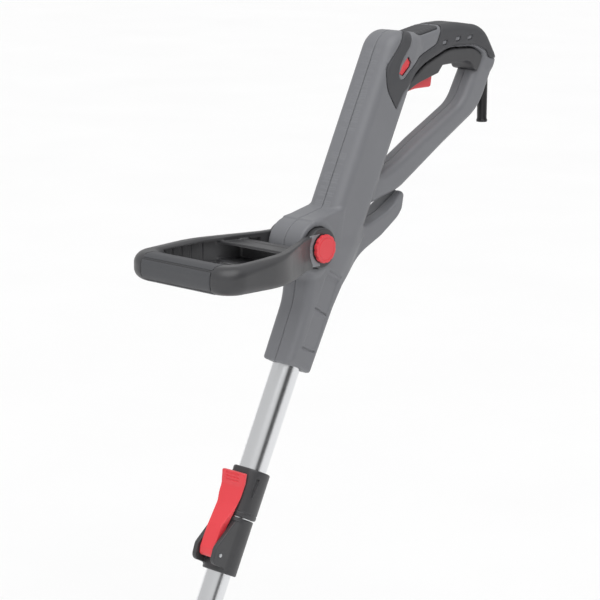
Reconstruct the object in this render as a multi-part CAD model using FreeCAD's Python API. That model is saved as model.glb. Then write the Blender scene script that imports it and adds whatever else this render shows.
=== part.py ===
"""Electric string trimmer with a telescopic shaft, as separate pieces.

Handle and shaft pieces are drawn in the shaft frame: X to the operator's left, Y square to the shaft
towards the operator, Z up along the shaft, zero at the lower end of the handle's neck. Head pieces are drawn
in the head frame, which hangs upright from the tilt pin. Both are then placed in the row frame: +X the
operator's left, -Y forward, +Z up, origin at the middle of the main grip, with the machine held as in use.
"""

import math
import os

import FreeCAD
import Part
from FreeCAD import Vector

# Driving dimensions, millimetres and degrees
SHAFT_LEAN = 27.2
GRIP_CENTRE = Vector(0, 88, 382)
WALL = 3.0
SKIN = 1.4
COLUMN_HALF = 21.5
GRIP_HALF = 18.0
STRUT_HALF = 14.0
HOOK_HALF = 15.0
NECK_HALF = 19.5

UPPER_TUBE_R = 14.0
LOWER_TUBE_R = 12.5
TUBE_WALL = 1.0
UPPER_TUBE_SPAN = (-200, 150)
LOWER_TUBE_SPAN = (-540, -70)
SLIDE_GAP = 0.08
FIT_GAP = 0.05

PIVOT = Vector(0, -35.4, 116.3)
BOSS_R = 26.0
HUB_R = 20.0
HUB_SPAN = (17.0, 28.5)
PLATE_THICK = 0.8
KNOB_R = 14.2
KNOB_SPAN = (29.6, 33.6)
BOLT_R = 3.0

TRIGGER_PIVOT = Vector(0, 27, 312)
CLAMP_PIN = Vector(0, -22.0, -197.5)
TILT_PIN = Vector(0, 0, -560)

MOTOR_OFFSET = 52.0
MOTOR_R = 41.0
SPOOL_R = 40.0
GUARD_R = 138.0
CUTTING_R = 125.0

PARTS = {}


# ---------------------------------------------------------------- shape helpers


def rounded_wire(corners):
    """Closed wire in the XY plane through (u, v, radius) corners, each rounded to its radius."""
    count = len(corners)
    points = [Vector(c[0], c[1], 0) for c in corners]
    stretches = []
    for i, here in enumerate(points):
        radius = corners[i][2] if len(corners[i]) > 2 else 0
        if not radius:
            stretches.append((here, None, here))
            continue
        to_last = (points[i - 1] - here).normalize()
        to_next = (points[(i + 1) % count] - here).normalize()
        half = to_last.getAngle(to_next) / 2
        reach = radius / math.tan(half)
        inward = (to_last + to_next).normalize()
        middle = here + inward * (radius / math.sin(half) - radius)
        stretches.append((here + to_last * reach, middle, here + to_next * reach))
    edges = []
    for i, (start, middle, end) in enumerate(stretches):
        if middle:
            edges.append(Part.Arc(start, middle, end).toShape())
        following = stretches[(i + 1) % count][0]
        if (following - end).Length > 1e-6:
            edges.append(Part.LineSegment(end, following).toShape())
    return Part.Wire(edges)


def side_plate(corners, low, high, inset=0.0):
    """Prism along X from low to high, with a side outline of (y, z, radius) corners, drawn in by inset."""
    wire = rounded_wire(corners)
    if inset:
        wire = wire.makeOffset2D(-inset)
    face = Part.Face(wire)
    face.rotate(Vector(), Vector(1, 1, 1), 120)
    return face.translated(Vector(low, 0, 0)).extrude(Vector(high - low, 0, 0))


def floor_plate(corners, low, high, inset=0.0):
    """Prism along Z from low to high, with a plan outline of (x, y, radius) corners, drawn in by inset."""
    wire = rounded_wire(corners)
    if inset:
        wire = wire.makeOffset2D(-inset)
    face = Part.Face(wire)
    return face.translated(Vector(0, 0, low)).extrude(Vector(0, 0, high - low))


def round_rims(solid, radius, axis="x"):
    """Fillets the edges in the two end planes of a prism along an axis."""
    low, high = getattr(solid.BoundBox, axis.upper() + "Min"), getattr(solid.BoundBox, axis.upper() + "Max")
    rims = []
    for edge in solid.Edges:
        places = [getattr(v.Point, axis) for v in edge.Vertexes]
        if all(abs(p - low) < 1e-6 for p in places) or all(abs(p - high) < 1e-6 for p in places):
            rims.append(edge)
    return solid.makeFillet(radius, rims)


def rod(start, end, radius):
    """Cylinder between two points."""
    return Part.makeCylinder(radius, (end - start).Length, start, end - start)


def pipe(start, end, outer, inner):
    """Tube between two points."""
    return rod(start, end, outer).cut(rod(start, end, inner))


def block(x, y, z):
    """Box from three (low, high) pairs."""
    size = [pair[1] - pair[0] for pair in (x, y, z)]
    return Part.makeBox(*size, Vector(x[0], y[0], z[0]))


def fuse(shapes):
    """One solid from touching shapes, with the seams between coplanar faces removed."""
    return shapes[0].multiFuse(shapes[1:]).removeSplitter()


def turned(profile, centre=Vector()):
    """Solid of revolution about the vertical through centre, from (radius, height) corners."""
    points = [Vector(r, 0, z) for r, z in profile]
    face = Part.Face(Part.makePolygon(points + points[:1]))
    return face.revolve(Vector(), Vector(0, 0, 1), 360).translated(centre)


def coil_spring(centre, axis, length, radius, wire_r, turns):
    """Helical compression spring along an axis from its centre at one end."""
    pitch = (length - 2 * wire_r) / turns
    helix = Part.makeHelix(pitch, pitch * turns, radius)
    section = Part.Wire(Part.makeCircle(wire_r, Vector(radius, 0, 0), Vector(0, 1, 0)))
    spring = Part.Wire(helix.Edges).makePipeShell([section], True, True)
    spring.translate(Vector(0, 0, wire_r))
    spring.Placement = FreeCAD.Placement(centre, FreeCAD.Rotation(Vector(0, 0, 1), axis)).multiply(spring.Placement)
    return spring


def halves(solid):
    """Left (+X) and right (-X) halves of a solid."""
    far = 400
    left = block((0, far), (-far, far), (-far, 2 * far))
    right = block((-far, 0), (-far, far), (-far, 2 * far))
    return solid.common(left), solid.common(right)


# ---------------------------------------------------------------- placing in the row frame

LEAN = FreeCAD.Rotation(Vector(1, 0, 0), -SHAFT_LEAN)
SHAFT_PLACE = FreeCAD.Placement(-LEAN.multVec(GRIP_CENTRE), LEAN)
HEAD_PLACE = FreeCAD.Placement(SHAFT_PLACE.multVec(TILT_PIN), FreeCAD.Rotation())
LOOP_PLACE = FreeCAD.Placement(SHAFT_PLACE.multVec(PIVOT), FreeCAD.Rotation())


def keep(name, shape, place):
    """Stores a finished piece under its node name, placed in the row frame."""
    placed = shape.copy()
    placed.Placement = place.multiply(placed.Placement)
    PARTS[name] = placed


# ---------------------------------------------------------------- handle housing

COLUMN = [(-24, 70), (-24, 352, 26), (22, 364, 14), (28, 300, 30), (25, 70)]
GRIP = [(-8, 300, 12), (-8, 346, 16), (44, 384, 60), (70, 398, 90), (112, 412, 36), (150, 391, 12),
        (146, 372, 6), (126, 386, 10), (108, 387, 30), (72, 371, 60), (40, 338, 60), (17, 297, 8)]
STRUT = [(152, 392, 12), (151, 334, 60), (112, 279, 80), (68, 213, 60), (33, 184, 16), (12, 176, 8),
         (8, 214, 8), (34, 218, 12), (52, 238, 50), (76, 272, 60), (120, 330, 40), (124, 386, 12)]
HOOK = [(10, 92), (24, 104, 30), (47, 140, 60), (66, 165, 40), (77, 201, 3), (72, 206, 3),
        (58, 182, 40), (38, 160, 14), (24, 154, 8), (8, 154)]
SHOULDER = [(-14, 167), (-50.5, 138.2), (-36, 118), (0, 118)]
NECK = [(-19.5, 0), (-20.5, 60, 60), (-30, 92), (24, 100), (20.5, 60, 60), (19.5, 0)]
SHROUD = [(24, 298, 2), (40, 318, 60), (66, 340, 1), (69, 350, 2), (109, 372, 12), (119, 366, 4), (126, 367, 3),
          (126, 384, 3), (108, 385.5, 30), (71, 368.5, 60), (43, 340, 60), (19, 300, 2)]
OVERMOULD = [(13.6, 280), (-12, 294, 30), (-19, 312, 20), (-9, 352), (60, 425), (160, 425), (156, 393, 6),
             (134, 385, 3), (126, 390.5, 10), (107.6, 389, 30), (70.8, 372.7, 60), (38.4, 339.2, 60), (16, 299.5)]
ISLAND = [(5.4, 302, 5), (-2, 318, 20), (-1, 330, 20), (3, 345), (3, 420), (46, 420), (46, 364, 8), (24, 340, 30),
          (14, 322, 20)]
PAD = [(14, 348), (14, 400), (42, 410), (42, 368)]
PAD_HALF = 15.0
WINDOWS = [(57.2, 370.6), (75.4, 382.4), (92.7, 391.2)]
LOCK_OFF = [(5.5, 334), (12, 330.5), (12.5, 326), (7, 314), (1, 313.5), (0.5, 321)]
LOCK_OFF_SPAN = (13.0, 20.4)
TRIGGER_HALF = 8.5
SHROUD_HALF = 15.0
SCREW_PLACES = [(0, 158), (0, 232), (0, 300), (139, 381), (139, 330), (98, 276), (52, 212)]
SCREW_SHANK_R = 1.6
SCREW_HEAD_R = 3.2
SCREW_LENGTH = 24.0
CORD_EXIT = Vector(0, 149, 381)
BOOT_R = 5.6
BOOT_FLANGE_R = 6.6
BOOT_BORE_R = 3.7
BOOT_LENGTH = 60.0
BOOT_DOWN = LEAN.inverted().multVec(Vector(0, 0, -1))


def slabs(inset):
    """The rounded slabs that make up the handle, each drawn in by inset."""
    column = round_rims(side_plate(COLUMN, inset - COLUMN_HALF, COLUMN_HALF - inset, inset), 11 - inset)
    grip = round_rims(side_plate(GRIP, inset - GRIP_HALF, GRIP_HALF - inset, inset), 6 - inset)
    strut = round_rims(side_plate(STRUT, inset - STRUT_HALF, STRUT_HALF - inset, inset), 7 - inset)
    boss = rod(PIVOT - Vector(COLUMN_HALF - inset, 0, 0), PIVOT + Vector(COLUMN_HALF - inset, 0, 0), BOSS_R - inset)
    return [column, grip, strut, round_rims(boss, 2)]


def window_outline(y, z):
    """Slanted window in the overmould, laid along the grip about its centre."""
    corners = []
    for along, across in ((-4.6, -2.1), (2.2, -2.1), (4.6, 2.1), (-2.2, 2.1)):
        corners.append((y + 0.87 * along - 0.5 * across, z + 0.5 * along + 0.87 * across))
    return corners


def housing():
    """Both shells as one hollow solid, with the overmould skin returned apart."""
    neck = round_rims(side_plate(NECK, -NECK_HALF, NECK_HALF), 1.5)
    hook = side_plate(HOOK, -HOOK_HALF, HOOK_HALF)
    shoulder = side_plate(SHOULDER, 2 - COLUMN_HALF, COLUMN_HALF - 2)
    outer = fuse(slabs(0) + [neck, hook, shoulder])
    skin = fuse(slabs(0)).cut(fuse(slabs(SKIN)))
    mask = side_plate(OVERMOULD, -40, 40).cut(side_plate(ISLAND, -40, 40))
    for y, z in WINDOWS:
        mask = mask.cut(side_plate(window_outline(y, z), -40, 40))
    overmould = skin.common(mask)
    pad = skin.common(side_plate(PAD, -PAD_HALF, PAD_HALF))

    hollow = fuse(slabs(WALL))
    for y, z in SCREW_PLACES:
        hollow = hollow.cut(rod(Vector(-40, y, z), Vector(40, y, z), 4.5))
    pocket = block((-40, 40), (-70, 30), (-5, UPPER_TUBE_SPAN[1] + 4))
    hub_core = rod(PIVOT - Vector(40, 0, 0), PIVOT + Vector(40, 0, 0), BOLT_R + 3)
    hollow = hollow.cut(pocket.cut(block((-16.0, 16.0), (-70, 30), (70, 400)))).cut(hub_core)
    shell = outer.cut(hollow).cut(overmould).cut(pad)

    tube_end = Vector(0, 0, UPPER_TUBE_SPAN[1] + FIT_GAP)
    shell = shell.cut(rod(Vector(0, 0, -5), tube_end, UPPER_TUBE_R + FIT_GAP))
    shell = shell.cut(rod(PIVOT - Vector(40, 0, 0), PIVOT + Vector(40, 0, 0), BOLT_R + FIT_GAP))
    for side in (-1, 1):
        shell = shell.cut(hub_recess(side))
    return shell, overmould, pad


def hub_recess(side):
    """Round recess in one side of the boss for a hub of the loop handle."""
    floor = PIVOT + Vector(side * (HUB_SPAN[0] - 0.4), 0, 0)
    outside = PIVOT + Vector(side * 40, 0, 0)
    return rod(floor, outside, HUB_R + 0.5)


def liner():
    """Black liner under the grip, with a slot that the trigger moves in."""
    body = side_plate(SHROUD, -SHROUD_HALF, SHROUD_HALF)
    slot = side_plate([(20, 290), (20, 322), (56, 362), (69.5, 352), (69.5, 330)], -TRIGGER_HALF - 0.4,
                      TRIGGER_HALF + 0.4)
    pin_holes = rod(TRIGGER_PIVOT - Vector(11, 0, 0), TRIGGER_PIVOT + Vector(11, 0, 0), 1.5 + FIT_GAP)
    return body.cut(slot).cut(pin_holes)


def trigger():
    """Red trigger: a curved finger face on two short trunnions at its front end."""
    outline = [(25, 306, 2), (33, 304.5, 3), (47, 314.5, 40), (69, 325.5, 3), (63.5, 342, 3), (52, 335, 20), (26, 317, 3)]
    body = round_rims(side_plate(outline, -TRIGGER_HALF, TRIGGER_HALF), 1.2)
    return body.fuse(rod(TRIGGER_PIVOT - Vector(11, 0, 0), TRIGGER_PIVOT + Vector(11, 0, 0), 1.5))


def cord_boot():
    """Rubber boot hanging from the rear of the handle: a slightly tapered sleeve with a lip at its foot."""
    foot = -BOOT_LENGTH
    sleeve = turned([(BOOT_BORE_R, foot), (BOOT_BORE_R, 0), (BOOT_FLANGE_R, 0), (BOOT_FLANGE_R, -5), (BOOT_R, -5),
                     (BOOT_R - 0.4, foot + 3), (BOOT_R + 0.3, foot + 2), (BOOT_R + 0.3, foot)])
    sleeve.Placement = FreeCAD.Placement(CORD_EXIT, LEAN.inverted())
    return sleeve


def screws(places, low, length, shank_r, head_r, axis=Vector(1, 0, 0)):
    """Pan head screws as one group: heads at low, shanks running along axis."""
    solids = []
    for place in places:
        seat = place + axis * low
        head = rod(seat, seat + axis * 2.2, head_r)
        solids.append(head.fuse(rod(seat + axis * 2.2, seat + axis * length, shank_r)))
    return Part.makeCompound(solids)


def handle_internals():
    """Trigger switch, cord clamp and the spring behind the lock-off button."""
    switch = side_plate([(24, 338), (50, 367), (70, 373), (70, 390), (45, 376), (20, 351)], -9, 9)
    clamp = side_plate([(133, 350), (143, 350), (143, 366), (133, 366)], -8, 8)
    clamp = clamp.cut(rod(Vector(-5, 138, 340), Vector(-5, 138, 370), 1.7)).cut(
        rod(Vector(5, 138, 340), Vector(5, 138, 370), 1.7))
    spring = coil_spring(Vector(LOCK_OFF_SPAN[0], 6.5, 323), Vector(-1, 0, 0), 8.0, 2.8, 0.35, 5)
    return switch, clamp, spring


def build_handle():
    shell, overmould, pad = housing()
    switch, clamp, spring = handle_internals()
    shell = shell.cut(switch).cut(clamp)
    keep("trigger_switch", switch, SHAFT_PLACE)
    keep("cord_clamp", clamp, SHAFT_PLACE)
    keep("lock_off_spring", spring, SHAFT_PLACE)
    under = liner()
    trigger_slot = side_plate([(16, 296), (16, 322), (54, 364), (71, 354), (71, 330)], -TRIGGER_HALF - 1.5,
                              TRIGGER_HALF + 1.5)
    shell = shell.cut(side_plate(SHROUD, -SHROUD_HALF, SHROUD_HALF)).cut(trigger_slot)
    boot = cord_boot()
    shell = shell.cut(rod(CORD_EXIT - BOOT_DOWN * 6, CORD_EXIT + BOOT_DOWN * 5, BOOT_FLANGE_R))
    shell = shell.cut(rod(CORD_EXIT, CORD_EXIT + BOOT_DOWN * 60, BOOT_R + 0.4))
    shell = shell.cut(rod(TRIGGER_PIVOT - Vector(11.3, 0, 0), TRIGGER_PIVOT + Vector(11.3, 0, 0), 1.5 + FIT_GAP))
    button_hole = side_plate(LOCK_OFF, LOCK_OFF_SPAN[0] - 2, 40, -0.25)
    shell = shell.cut(button_hole)
    overmould = overmould.cut(button_hole)
    screw_points = [Vector(0, y, z) for y, z in SCREW_PLACES]
    seats = [STRUT_HALF if y > 45 else COLUMN_HALF for y, z in SCREW_PLACES]
    seats[3] = GRIP_HALF
    screw_set = Part.makeCompound([screws([point], 2.0 - seat, SCREW_LENGTH, SCREW_SHANK_R, SCREW_HEAD_R)
                                   for point, seat in zip(screw_points, seats)])
    for point, seat in zip(screw_points, seats):
        shell = shell.cut(rod(point - Vector(40, 0, 0), point - Vector(seat - 4.2, 0, 0), SCREW_HEAD_R + FIT_GAP))
        end = point + Vector(2.0 - seat + SCREW_LENGTH, 0, 0)
        shell = shell.cut(rod(point - Vector(30, 0, 0), end, SCREW_SHANK_R + FIT_GAP))
        overmould = overmould.cut(rod(point - Vector(40, 0, 0), point, SCREW_HEAD_R + FIT_GAP))

    left, right = halves(shell)
    grip_left, grip_right = halves(overmould)
    keep("housing_left", left, SHAFT_PLACE)
    keep("housing_right", right, SHAFT_PLACE)
    keep("grip_overmould_left", grip_left, SHAFT_PLACE)
    keep("grip_overmould_right", grip_right, SHAFT_PLACE)
    keep("thumb_pad", pad, SHAFT_PLACE)
    keep("grip_liner", under, SHAFT_PLACE)
    keep("trigger", trigger(), SHAFT_PLACE)
    keep("cord_boot", boot, SHAFT_PLACE)
    keep("housing_screws", screw_set, SHAFT_PLACE)
    keep("lock_off_button", side_plate(LOCK_OFF, *LOCK_OFF_SPAN), SHAFT_PLACE)


# ---------------------------------------------------------------- auxiliary loop handle

LOOP_PLAN = [(-HUB_SPAN[1], 19), (-HUB_SPAN[1], -20, 60), (-66, -92, 90), (-71, -174, 24), (71, -174, 24),
             (66, -92, 90), (HUB_SPAN[1], -20, 60), (HUB_SPAN[1], 19)]
LOOP_INSIDE = [(-22, 19), (-22, -20, 40), (-50, -84, 60), (-50, -151, 12), (50, -151, 12),
               (50, -84, 60), (22, -20, 40), (22, 19)]
LOOP_SIDE = [(-190, -16), (-190, 10), (-60, 12.5, 60), (-14, 14), (-14, -19), (-60, -19, 60)]
CHANNEL_SPAN = (-14, 8)
CROSS_BAR_Y = (-68, -42)
RIB_PLACES = [-82, -93, -104, -115, -126]
SLEEVE_HALF = 46.0
SLEEVE_THICK = 2.5
HUB_INNER = HUB_SPAN[0]


def loop_solid():
    """The loop as a solid band between its two plan outlines, cut to its side outline."""
    band = floor_plate(LOOP_PLAN, -60, 60).cut(floor_plate(LOOP_INSIDE, -60, 60))
    return band.common(side_plate(LOOP_SIDE, -100, 100))


def aux_handle():
    """Loop of two open channel arms with ribs, a front bar, a cross bar and two round hubs."""
    loop = loop_solid()
    arm_pocket = floor_plate(LOOP_PLAN, *CHANNEL_SPAN, 3.2).cut(block((-100, 100), (-300, -138), (-60, 60)))
    loop = loop.cut(arm_pocket.cut(block((-100, 100), (-30, 60), (-60, 60))))
    for y in RIB_PLACES:
        wall = block((-100, 100), (y - 1.2, y + 1.2), CHANNEL_SPAN)
        loop = loop.fuse(wall.common(loop_solid()))
    bar = block((-56, 56), CROSS_BAR_Y, CHANNEL_SPAN).common(floor_plate(LOOP_PLAN, -60, 60, 1.0))
    bar = bar.cut(block((-54, 54), (CROSS_BAR_Y[0] - 1, CROSS_BAR_Y[1] - 3), (CHANNEL_SPAN[0] + 3, CHANNEL_SPAN[1] - 3)))
    loop = loop.fuse(bar)
    for side in (-1, 1):
        inner, outer = Vector(side * HUB_INNER, 0, 0), Vector(side * HUB_SPAN[1], 0, 0)
        loop = loop.fuse(rod(inner, outer, HUB_R)).cut(rod(outer, outer + Vector(side * 20, 0, 0), HUB_R))
    loop = loop.cut(rod(Vector(-60, 0, 0), Vector(60, 0, 0), BOLT_R + SLIDE_GAP))
    return loop.cut(grip_sleeve()).removeSplitter()


def grip_sleeve():
    """Soft sleeve round the straight middle of the loop's front bar."""
    middle = block((-SLEEVE_HALF, SLEEVE_HALF), (-220, -140), (-60, 60))
    core = block((-60, 60), (SLEEVE_THICK - 174, -151 - SLEEVE_THICK), (SLEEVE_THICK - 16, 10 - SLEEVE_THICK))
    return loop_solid().common(middle).cut(core)


def scalloped_knob():
    """Round knob with twelve finger scallops round its rim and a domed face."""
    start, end = Vector(KNOB_SPAN[0], 0, 0), Vector(KNOB_SPAN[1], 0, 0)
    knob = round_rims(rod(start, end, KNOB_R), 1.0)
    for turn in range(12):
        angle = math.radians(turn * 30)
        centre = Vector(0, math.cos(angle), math.sin(angle)) * (KNOB_R + 1.4)
        knob = knob.cut(rod(start + centre, end + centre, 2.3))
    return knob.cut(rod(start, start + Vector(2.6, 0, 0), 5.0))


def build_aux_handle():
    keep("aux_handle", aux_handle(), LOOP_PLACE)
    keep("aux_grip_sleeve", grip_sleeve(), LOOP_PLACE)
    plate = pipe(Vector(HUB_SPAN[1], 0, 0), Vector(HUB_SPAN[1] + PLATE_THICK, 0, 0), HUB_R - 1.2, BOLT_R + 1)
    keep("hub_plate", plate, LOOP_PLACE)
    keep("aux_knob", scalloped_knob(), LOOP_PLACE)
    insert = pipe(Vector(KNOB_SPAN[0], 0, 0), Vector(KNOB_SPAN[0] + 2.6, 0, 0), 5.0, BOLT_R + SLIDE_GAP)
    keep("knob_insert", insert, LOOP_PLACE)
    bolt_head = Vector(-HUB_SPAN[1] - 0.3, 0, 0)
    bolt = rod(bolt_head, Vector(KNOB_SPAN[0] + 2.4, 0, 0), BOLT_R)
    keep("aux_bolt", bolt.fuse(rod(bolt_head - Vector(3.2, 0, 0), bolt_head, 7.0)), LOOP_PLACE)


# ---------------------------------------------------------------- tubes and clamp

COLLAR_SPAN = (-156, -108)
CLAMP_SPAN = (-213, -157)
COLLAR_R = 18.6
CLAMP_R = 17.2
LUG_X = (9.8, 15.0)
LEVER_SIDE = [(-26.2, -201.9, 4.1), (-28.5, -194, 4), (-28, -171, 10), (-20.5, -147, 14), (-21, -130, 14),
              (-26.5, -116, 1), (-21.5, -114.5, 1), (-19.0, -124, 14), (-19.2, -156, 20), (-18.8, -190, 10),
              (-17.8, -201.9, 4.1)]
LEVER_PLAN = [(-15, -112), (-15, -138, 20), (-12.5, -152, 20), (-9.2, -170, 20), (-9.2, -206),
              (9.2, -206), (9.2, -170, 20), (12.5, -152, 20), (15, -138, 20), (15, -112)]
LEVER_PIN_R = 2.0
BUSH_LENGTH = 34.0
LEAD_COIL_R = 7.0
TILT_PIN_R = 4.0
TILT_BUTTON_R = 7.0
TILT_BUTTON_SPAN = (20.6, 26.0)
LEAD_R = 3.2


def on_shaft(z):
    return Vector(0, 0, z)


def clamp_collar():
    """Collar glued on the outer tube, with one long groove on its left side."""
    collar = round_rims(rod(on_shaft(COLLAR_SPAN[0]), on_shaft(COLLAR_SPAN[1]), COLLAR_R), 1.5, "z")
    flat = block((-30, 30), (-30, -15.6), (-240, -90))
    collar = collar.cut(flat).cut(rod(on_shaft(-240), on_shaft(-90), UPPER_TUBE_R + FIT_GAP))
    groove = side_plate([(-9, -116), (-4.5, -116), (-7.5, -150)], COLLAR_R - 3.2, 40)
    return collar.cut(groove)


def clamp_body():
    """Clamp body round the tubes' joint: a sleeve with two lugs that hold the lever's pin."""
    sleeve = rod(on_shaft(CLAMP_SPAN[0]), on_shaft(CLAMP_SPAN[1]), CLAMP_R)
    lug = side_plate([(-17, -208, 3), (-29, -208, 7), (-31, -192, 7), (-16, -161, 3), (0, -161), (0, -210)], *LUG_X)
    other = lug.mirror(Vector(), Vector(1, 0, 0))
    body = fuse([sleeve, lug, other])
    gap = block((-LUG_X[0], LUG_X[0]), (-40, -17.2), (-240, -150))
    bores = rod(on_shaft(-240), on_shaft(-90), UPPER_TUBE_R + FIT_GAP)
    pin_hole = rod(CLAMP_PIN - Vector(30, 0, 0), CLAMP_PIN + Vector(30, 0, 0), LEVER_PIN_R + FIT_GAP)
    return body.cut(gap).cut(bores).cut(pin_hole)


def clamp_lever():
    """Red flip lever: wide and curled at its thumb end, narrow between the lugs."""
    plan = Part.Face(rounded_wire(LEVER_PLAN))
    plan.rotate(Vector(), Vector(1, 0, 0), 90)
    plan = plan.translated(Vector(0, 20, 0)).extrude(Vector(0, -80, 0))
    lever = side_plate(LEVER_SIDE, -20, 20).common(plan)
    return lever.cut(rod(CLAMP_PIN - Vector(30, 0, 0), CLAMP_PIN + Vector(30, 0, 0), LEVER_PIN_R + SLIDE_GAP))


def fork():
    """Fork pressed into the foot of the inner tube; its two arms hold the tilt pin."""
    low, high = LOWER_TUBE_SPAN[0], LOWER_TUBE_SPAN[0] + 40
    plug = rod(on_shaft(low), on_shaft(high), LOWER_TUBE_R - TUBE_WALL - FIT_GAP)
    crown = round_rims(rod(on_shaft(low - 2), on_shaft(low + 16), 17.5), 1.5, "z")
    tube_seat = pipe(on_shaft(low), on_shaft(high), LOWER_TUBE_R + FIT_GAP, LOWER_TUBE_R - TUBE_WALL - FIT_GAP)
    arm = side_plate([(-12, low + 2), (12, low + 2), (13, TILT_PIN.z, 10), (0, TILT_PIN.z - 14, 10),
                      (-13, TILT_PIN.z, 10)], 16.5, 21.5)
    shoulder = side_plate([(-12, low - 2), (12, low - 2), (12, low + 8), (-12, low + 8)], -21.5, 21.5)
    body = fuse([plug, crown, shoulder, arm, arm.mirror(Vector(), Vector(1, 0, 0))]).cut(tube_seat)
    knuckle_room = rod(TILT_PIN - Vector(16.5, 0, 0), TILT_PIN + Vector(16.5, 0, 0), 15.5)
    lead_hole = rod(on_shaft(low - 20), on_shaft(high + 1), LEAD_R + 0.5)
    pin_hole = rod(TILT_PIN - Vector(30, 0, 0), TILT_PIN + Vector(30, 0, 0), TILT_PIN_R + FIT_GAP)
    button_hole = rod(TILT_PIN + Vector(18.3, 0, 0), TILT_PIN + Vector(40, 0, 0), TILT_BUTTON_R + SLIDE_GAP)
    return body.cut(knuckle_room).cut(lead_hole).cut(pin_hole).cut(button_hole)


def build_shaft():
    keep("upper_tube", pipe(*[on_shaft(z) for z in UPPER_TUBE_SPAN], UPPER_TUBE_R, UPPER_TUBE_R - TUBE_WALL), SHAFT_PLACE)
    keep("lower_tube", pipe(*[on_shaft(z) for z in LOWER_TUBE_SPAN], LOWER_TUBE_R, LOWER_TUBE_R - TUBE_WALL), SHAFT_PLACE)
    bush_top = on_shaft(LOWER_TUBE_SPAN[1] + 3)
    bush = pipe(on_shaft(LOWER_TUBE_SPAN[1]), bush_top, UPPER_TUBE_R - TUBE_WALL - SLIDE_GAP, LEAD_COIL_R + 2)
    spigot = pipe(on_shaft(LOWER_TUBE_SPAN[1] - 22), on_shaft(LOWER_TUBE_SPAN[1]), LOWER_TUBE_R - TUBE_WALL - FIT_GAP,
                  LEAD_COIL_R + 2)
    keep("tube_guide_bush", bush.fuse(spigot), SHAFT_PLACE)
    keep("clamp_collar", clamp_collar(), SHAFT_PLACE)
    keep("clamp_body", clamp_body(), SHAFT_PLACE)
    keep("clamp_lever", clamp_lever(), SHAFT_PLACE)
    keep("clamp_pin", rod(CLAMP_PIN - Vector(LUG_X[1] + 0.4, 0, 0), CLAMP_PIN + Vector(LUG_X[1] + 0.4, 0, 0), LEVER_PIN_R),
         SHAFT_PLACE)
    jaw = pipe(on_shaft(CLAMP_SPAN[0] + 1), on_shaft(UPPER_TUBE_SPAN[0] - 0.5), UPPER_TUBE_R, LOWER_TUBE_R + SLIDE_GAP)
    keep("clamp_jaw", jaw.cut(block((-1.5, 1.5), (-30, 0), (-230, -190))), SHAFT_PLACE)
    keep("tube_fork", fork(), SHAFT_PLACE)
    keep("coiled_lead", rod(on_shaft(-430), on_shaft(UPPER_TUBE_SPAN[1] - 1), LEAD_COIL_R), SHAFT_PLACE)


# ---------------------------------------------------------------- cutting head

MOTOR_AXIS = Vector(0, -MOTOR_OFFSET, 0)
COVER_SPAN = (-40, 34)
BASE_SPAN = (-82, -40)
GUARD_TOP = -82.0
SHAFT_R = 4.0
BEARING_R = 11.0
SPOOL_SPAN = (-128, -98)
BUMP_FOOT = -140.0
WIRE_R = 1.6
WIRE_HOOP_R = 132.0
WIRE_LEVEL = -113.0
WIRE_PIVOT_Z = -62.0
BLADE_X = (130.5, 132.0)


def motor_axis(z):
    return MOTOR_AXIS + Vector(0, 0, z)


def motor_cover():
    """Domed upper cover of the motor, with cooling slots and a knuckle that takes the tilt pin."""
    outside = [(0, COVER_SPAN[0]), (MOTOR_R, COVER_SPAN[0]), (MOTOR_R, 12), (MOTOR_R - 4, 24), (MOTOR_R - 14, 32), (0, 34)]
    inside = [(0, COVER_SPAN[0] - 1), (MOTOR_R - WALL, COVER_SPAN[0] - 1), (MOTOR_R - WALL, 11), (MOTOR_R - 6.5, 21.5),
              (MOTOR_R - 15, 29), (0, 31)]
    knuckle = rod(Vector(-16, 0, 0), Vector(16, 0, 0), 14.5)
    web = side_plate([(-20, -22), (-2, -14.4), (2, 14.2), (-14, 22, 6)], -16, 16)
    cover = turned(outside, MOTOR_AXIS).fuse(knuckle).fuse(web).cut(turned(inside, MOTOR_AXIS))
    for turn in range(-4, 5):
        slot = block((-1.6, 1.6), (-MOTOR_R - 5, -MOTOR_R + 8), (-26, 6))
        slot.rotate(Vector(), Vector(0, 0, 1), turn * 12)
        cover = cover.cut(slot.translated(MOTOR_AXIS))
    pin_hole = rod(Vector(-30, 0, 0), Vector(30, 0, 0), TILT_PIN_R + SLIDE_GAP)
    lead_way = rod(Vector(0, 0, 10), Vector(0, -30, -4), LEAD_R + 0.5)
    return cover.cut(pin_hole).cut(lead_way)


def motor_base():
    """Lower housing of the motor, with the lower bearing's seat in its floor."""
    low, high = BASE_SPAN
    outside = [(0, low), (MOTOR_R - 3, low), (MOTOR_R + 1.5, low + 8), (MOTOR_R + 1.5, high), (0, high)]
    inside = [(0, low + 5), (MOTOR_R - 6, low + 5), (MOTOR_R - WALL, low + 10), (MOTOR_R - WALL, high + 1), (0, high + 1)]
    base = turned(outside, MOTOR_AXIS).cut(turned(inside, MOTOR_AXIS))
    base = base.fuse(pipe(motor_axis(low), motor_axis(low + 13), BEARING_R + 3, BEARING_R + FIT_GAP))
    return base.cut(rod(motor_axis(low - 1), motor_axis(low + 20), BEARING_R - 3)).cut(
        rod(motor_axis(low + 4), motor_axis(low + 20), BEARING_R + FIT_GAP))


def bearing(z):
    """Ball bearing as two races with a ring of balls."""
    outer = pipe(motor_axis(z), motor_axis(z + 7), BEARING_R, 9.0)
    inner = pipe(motor_axis(z), motor_axis(z + 7), 6.2, SHAFT_R + FIT_GAP)
    balls = []
    for turn in range(9):
        angle = math.radians(turn * 40)
        centre = motor_axis(z + 3.5) + Vector(math.cos(angle), math.sin(angle), 0) * 7.6
        balls.append(Part.makeSphere(1.35, centre))
    return Part.makeCompound([outer, inner] + balls)


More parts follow.
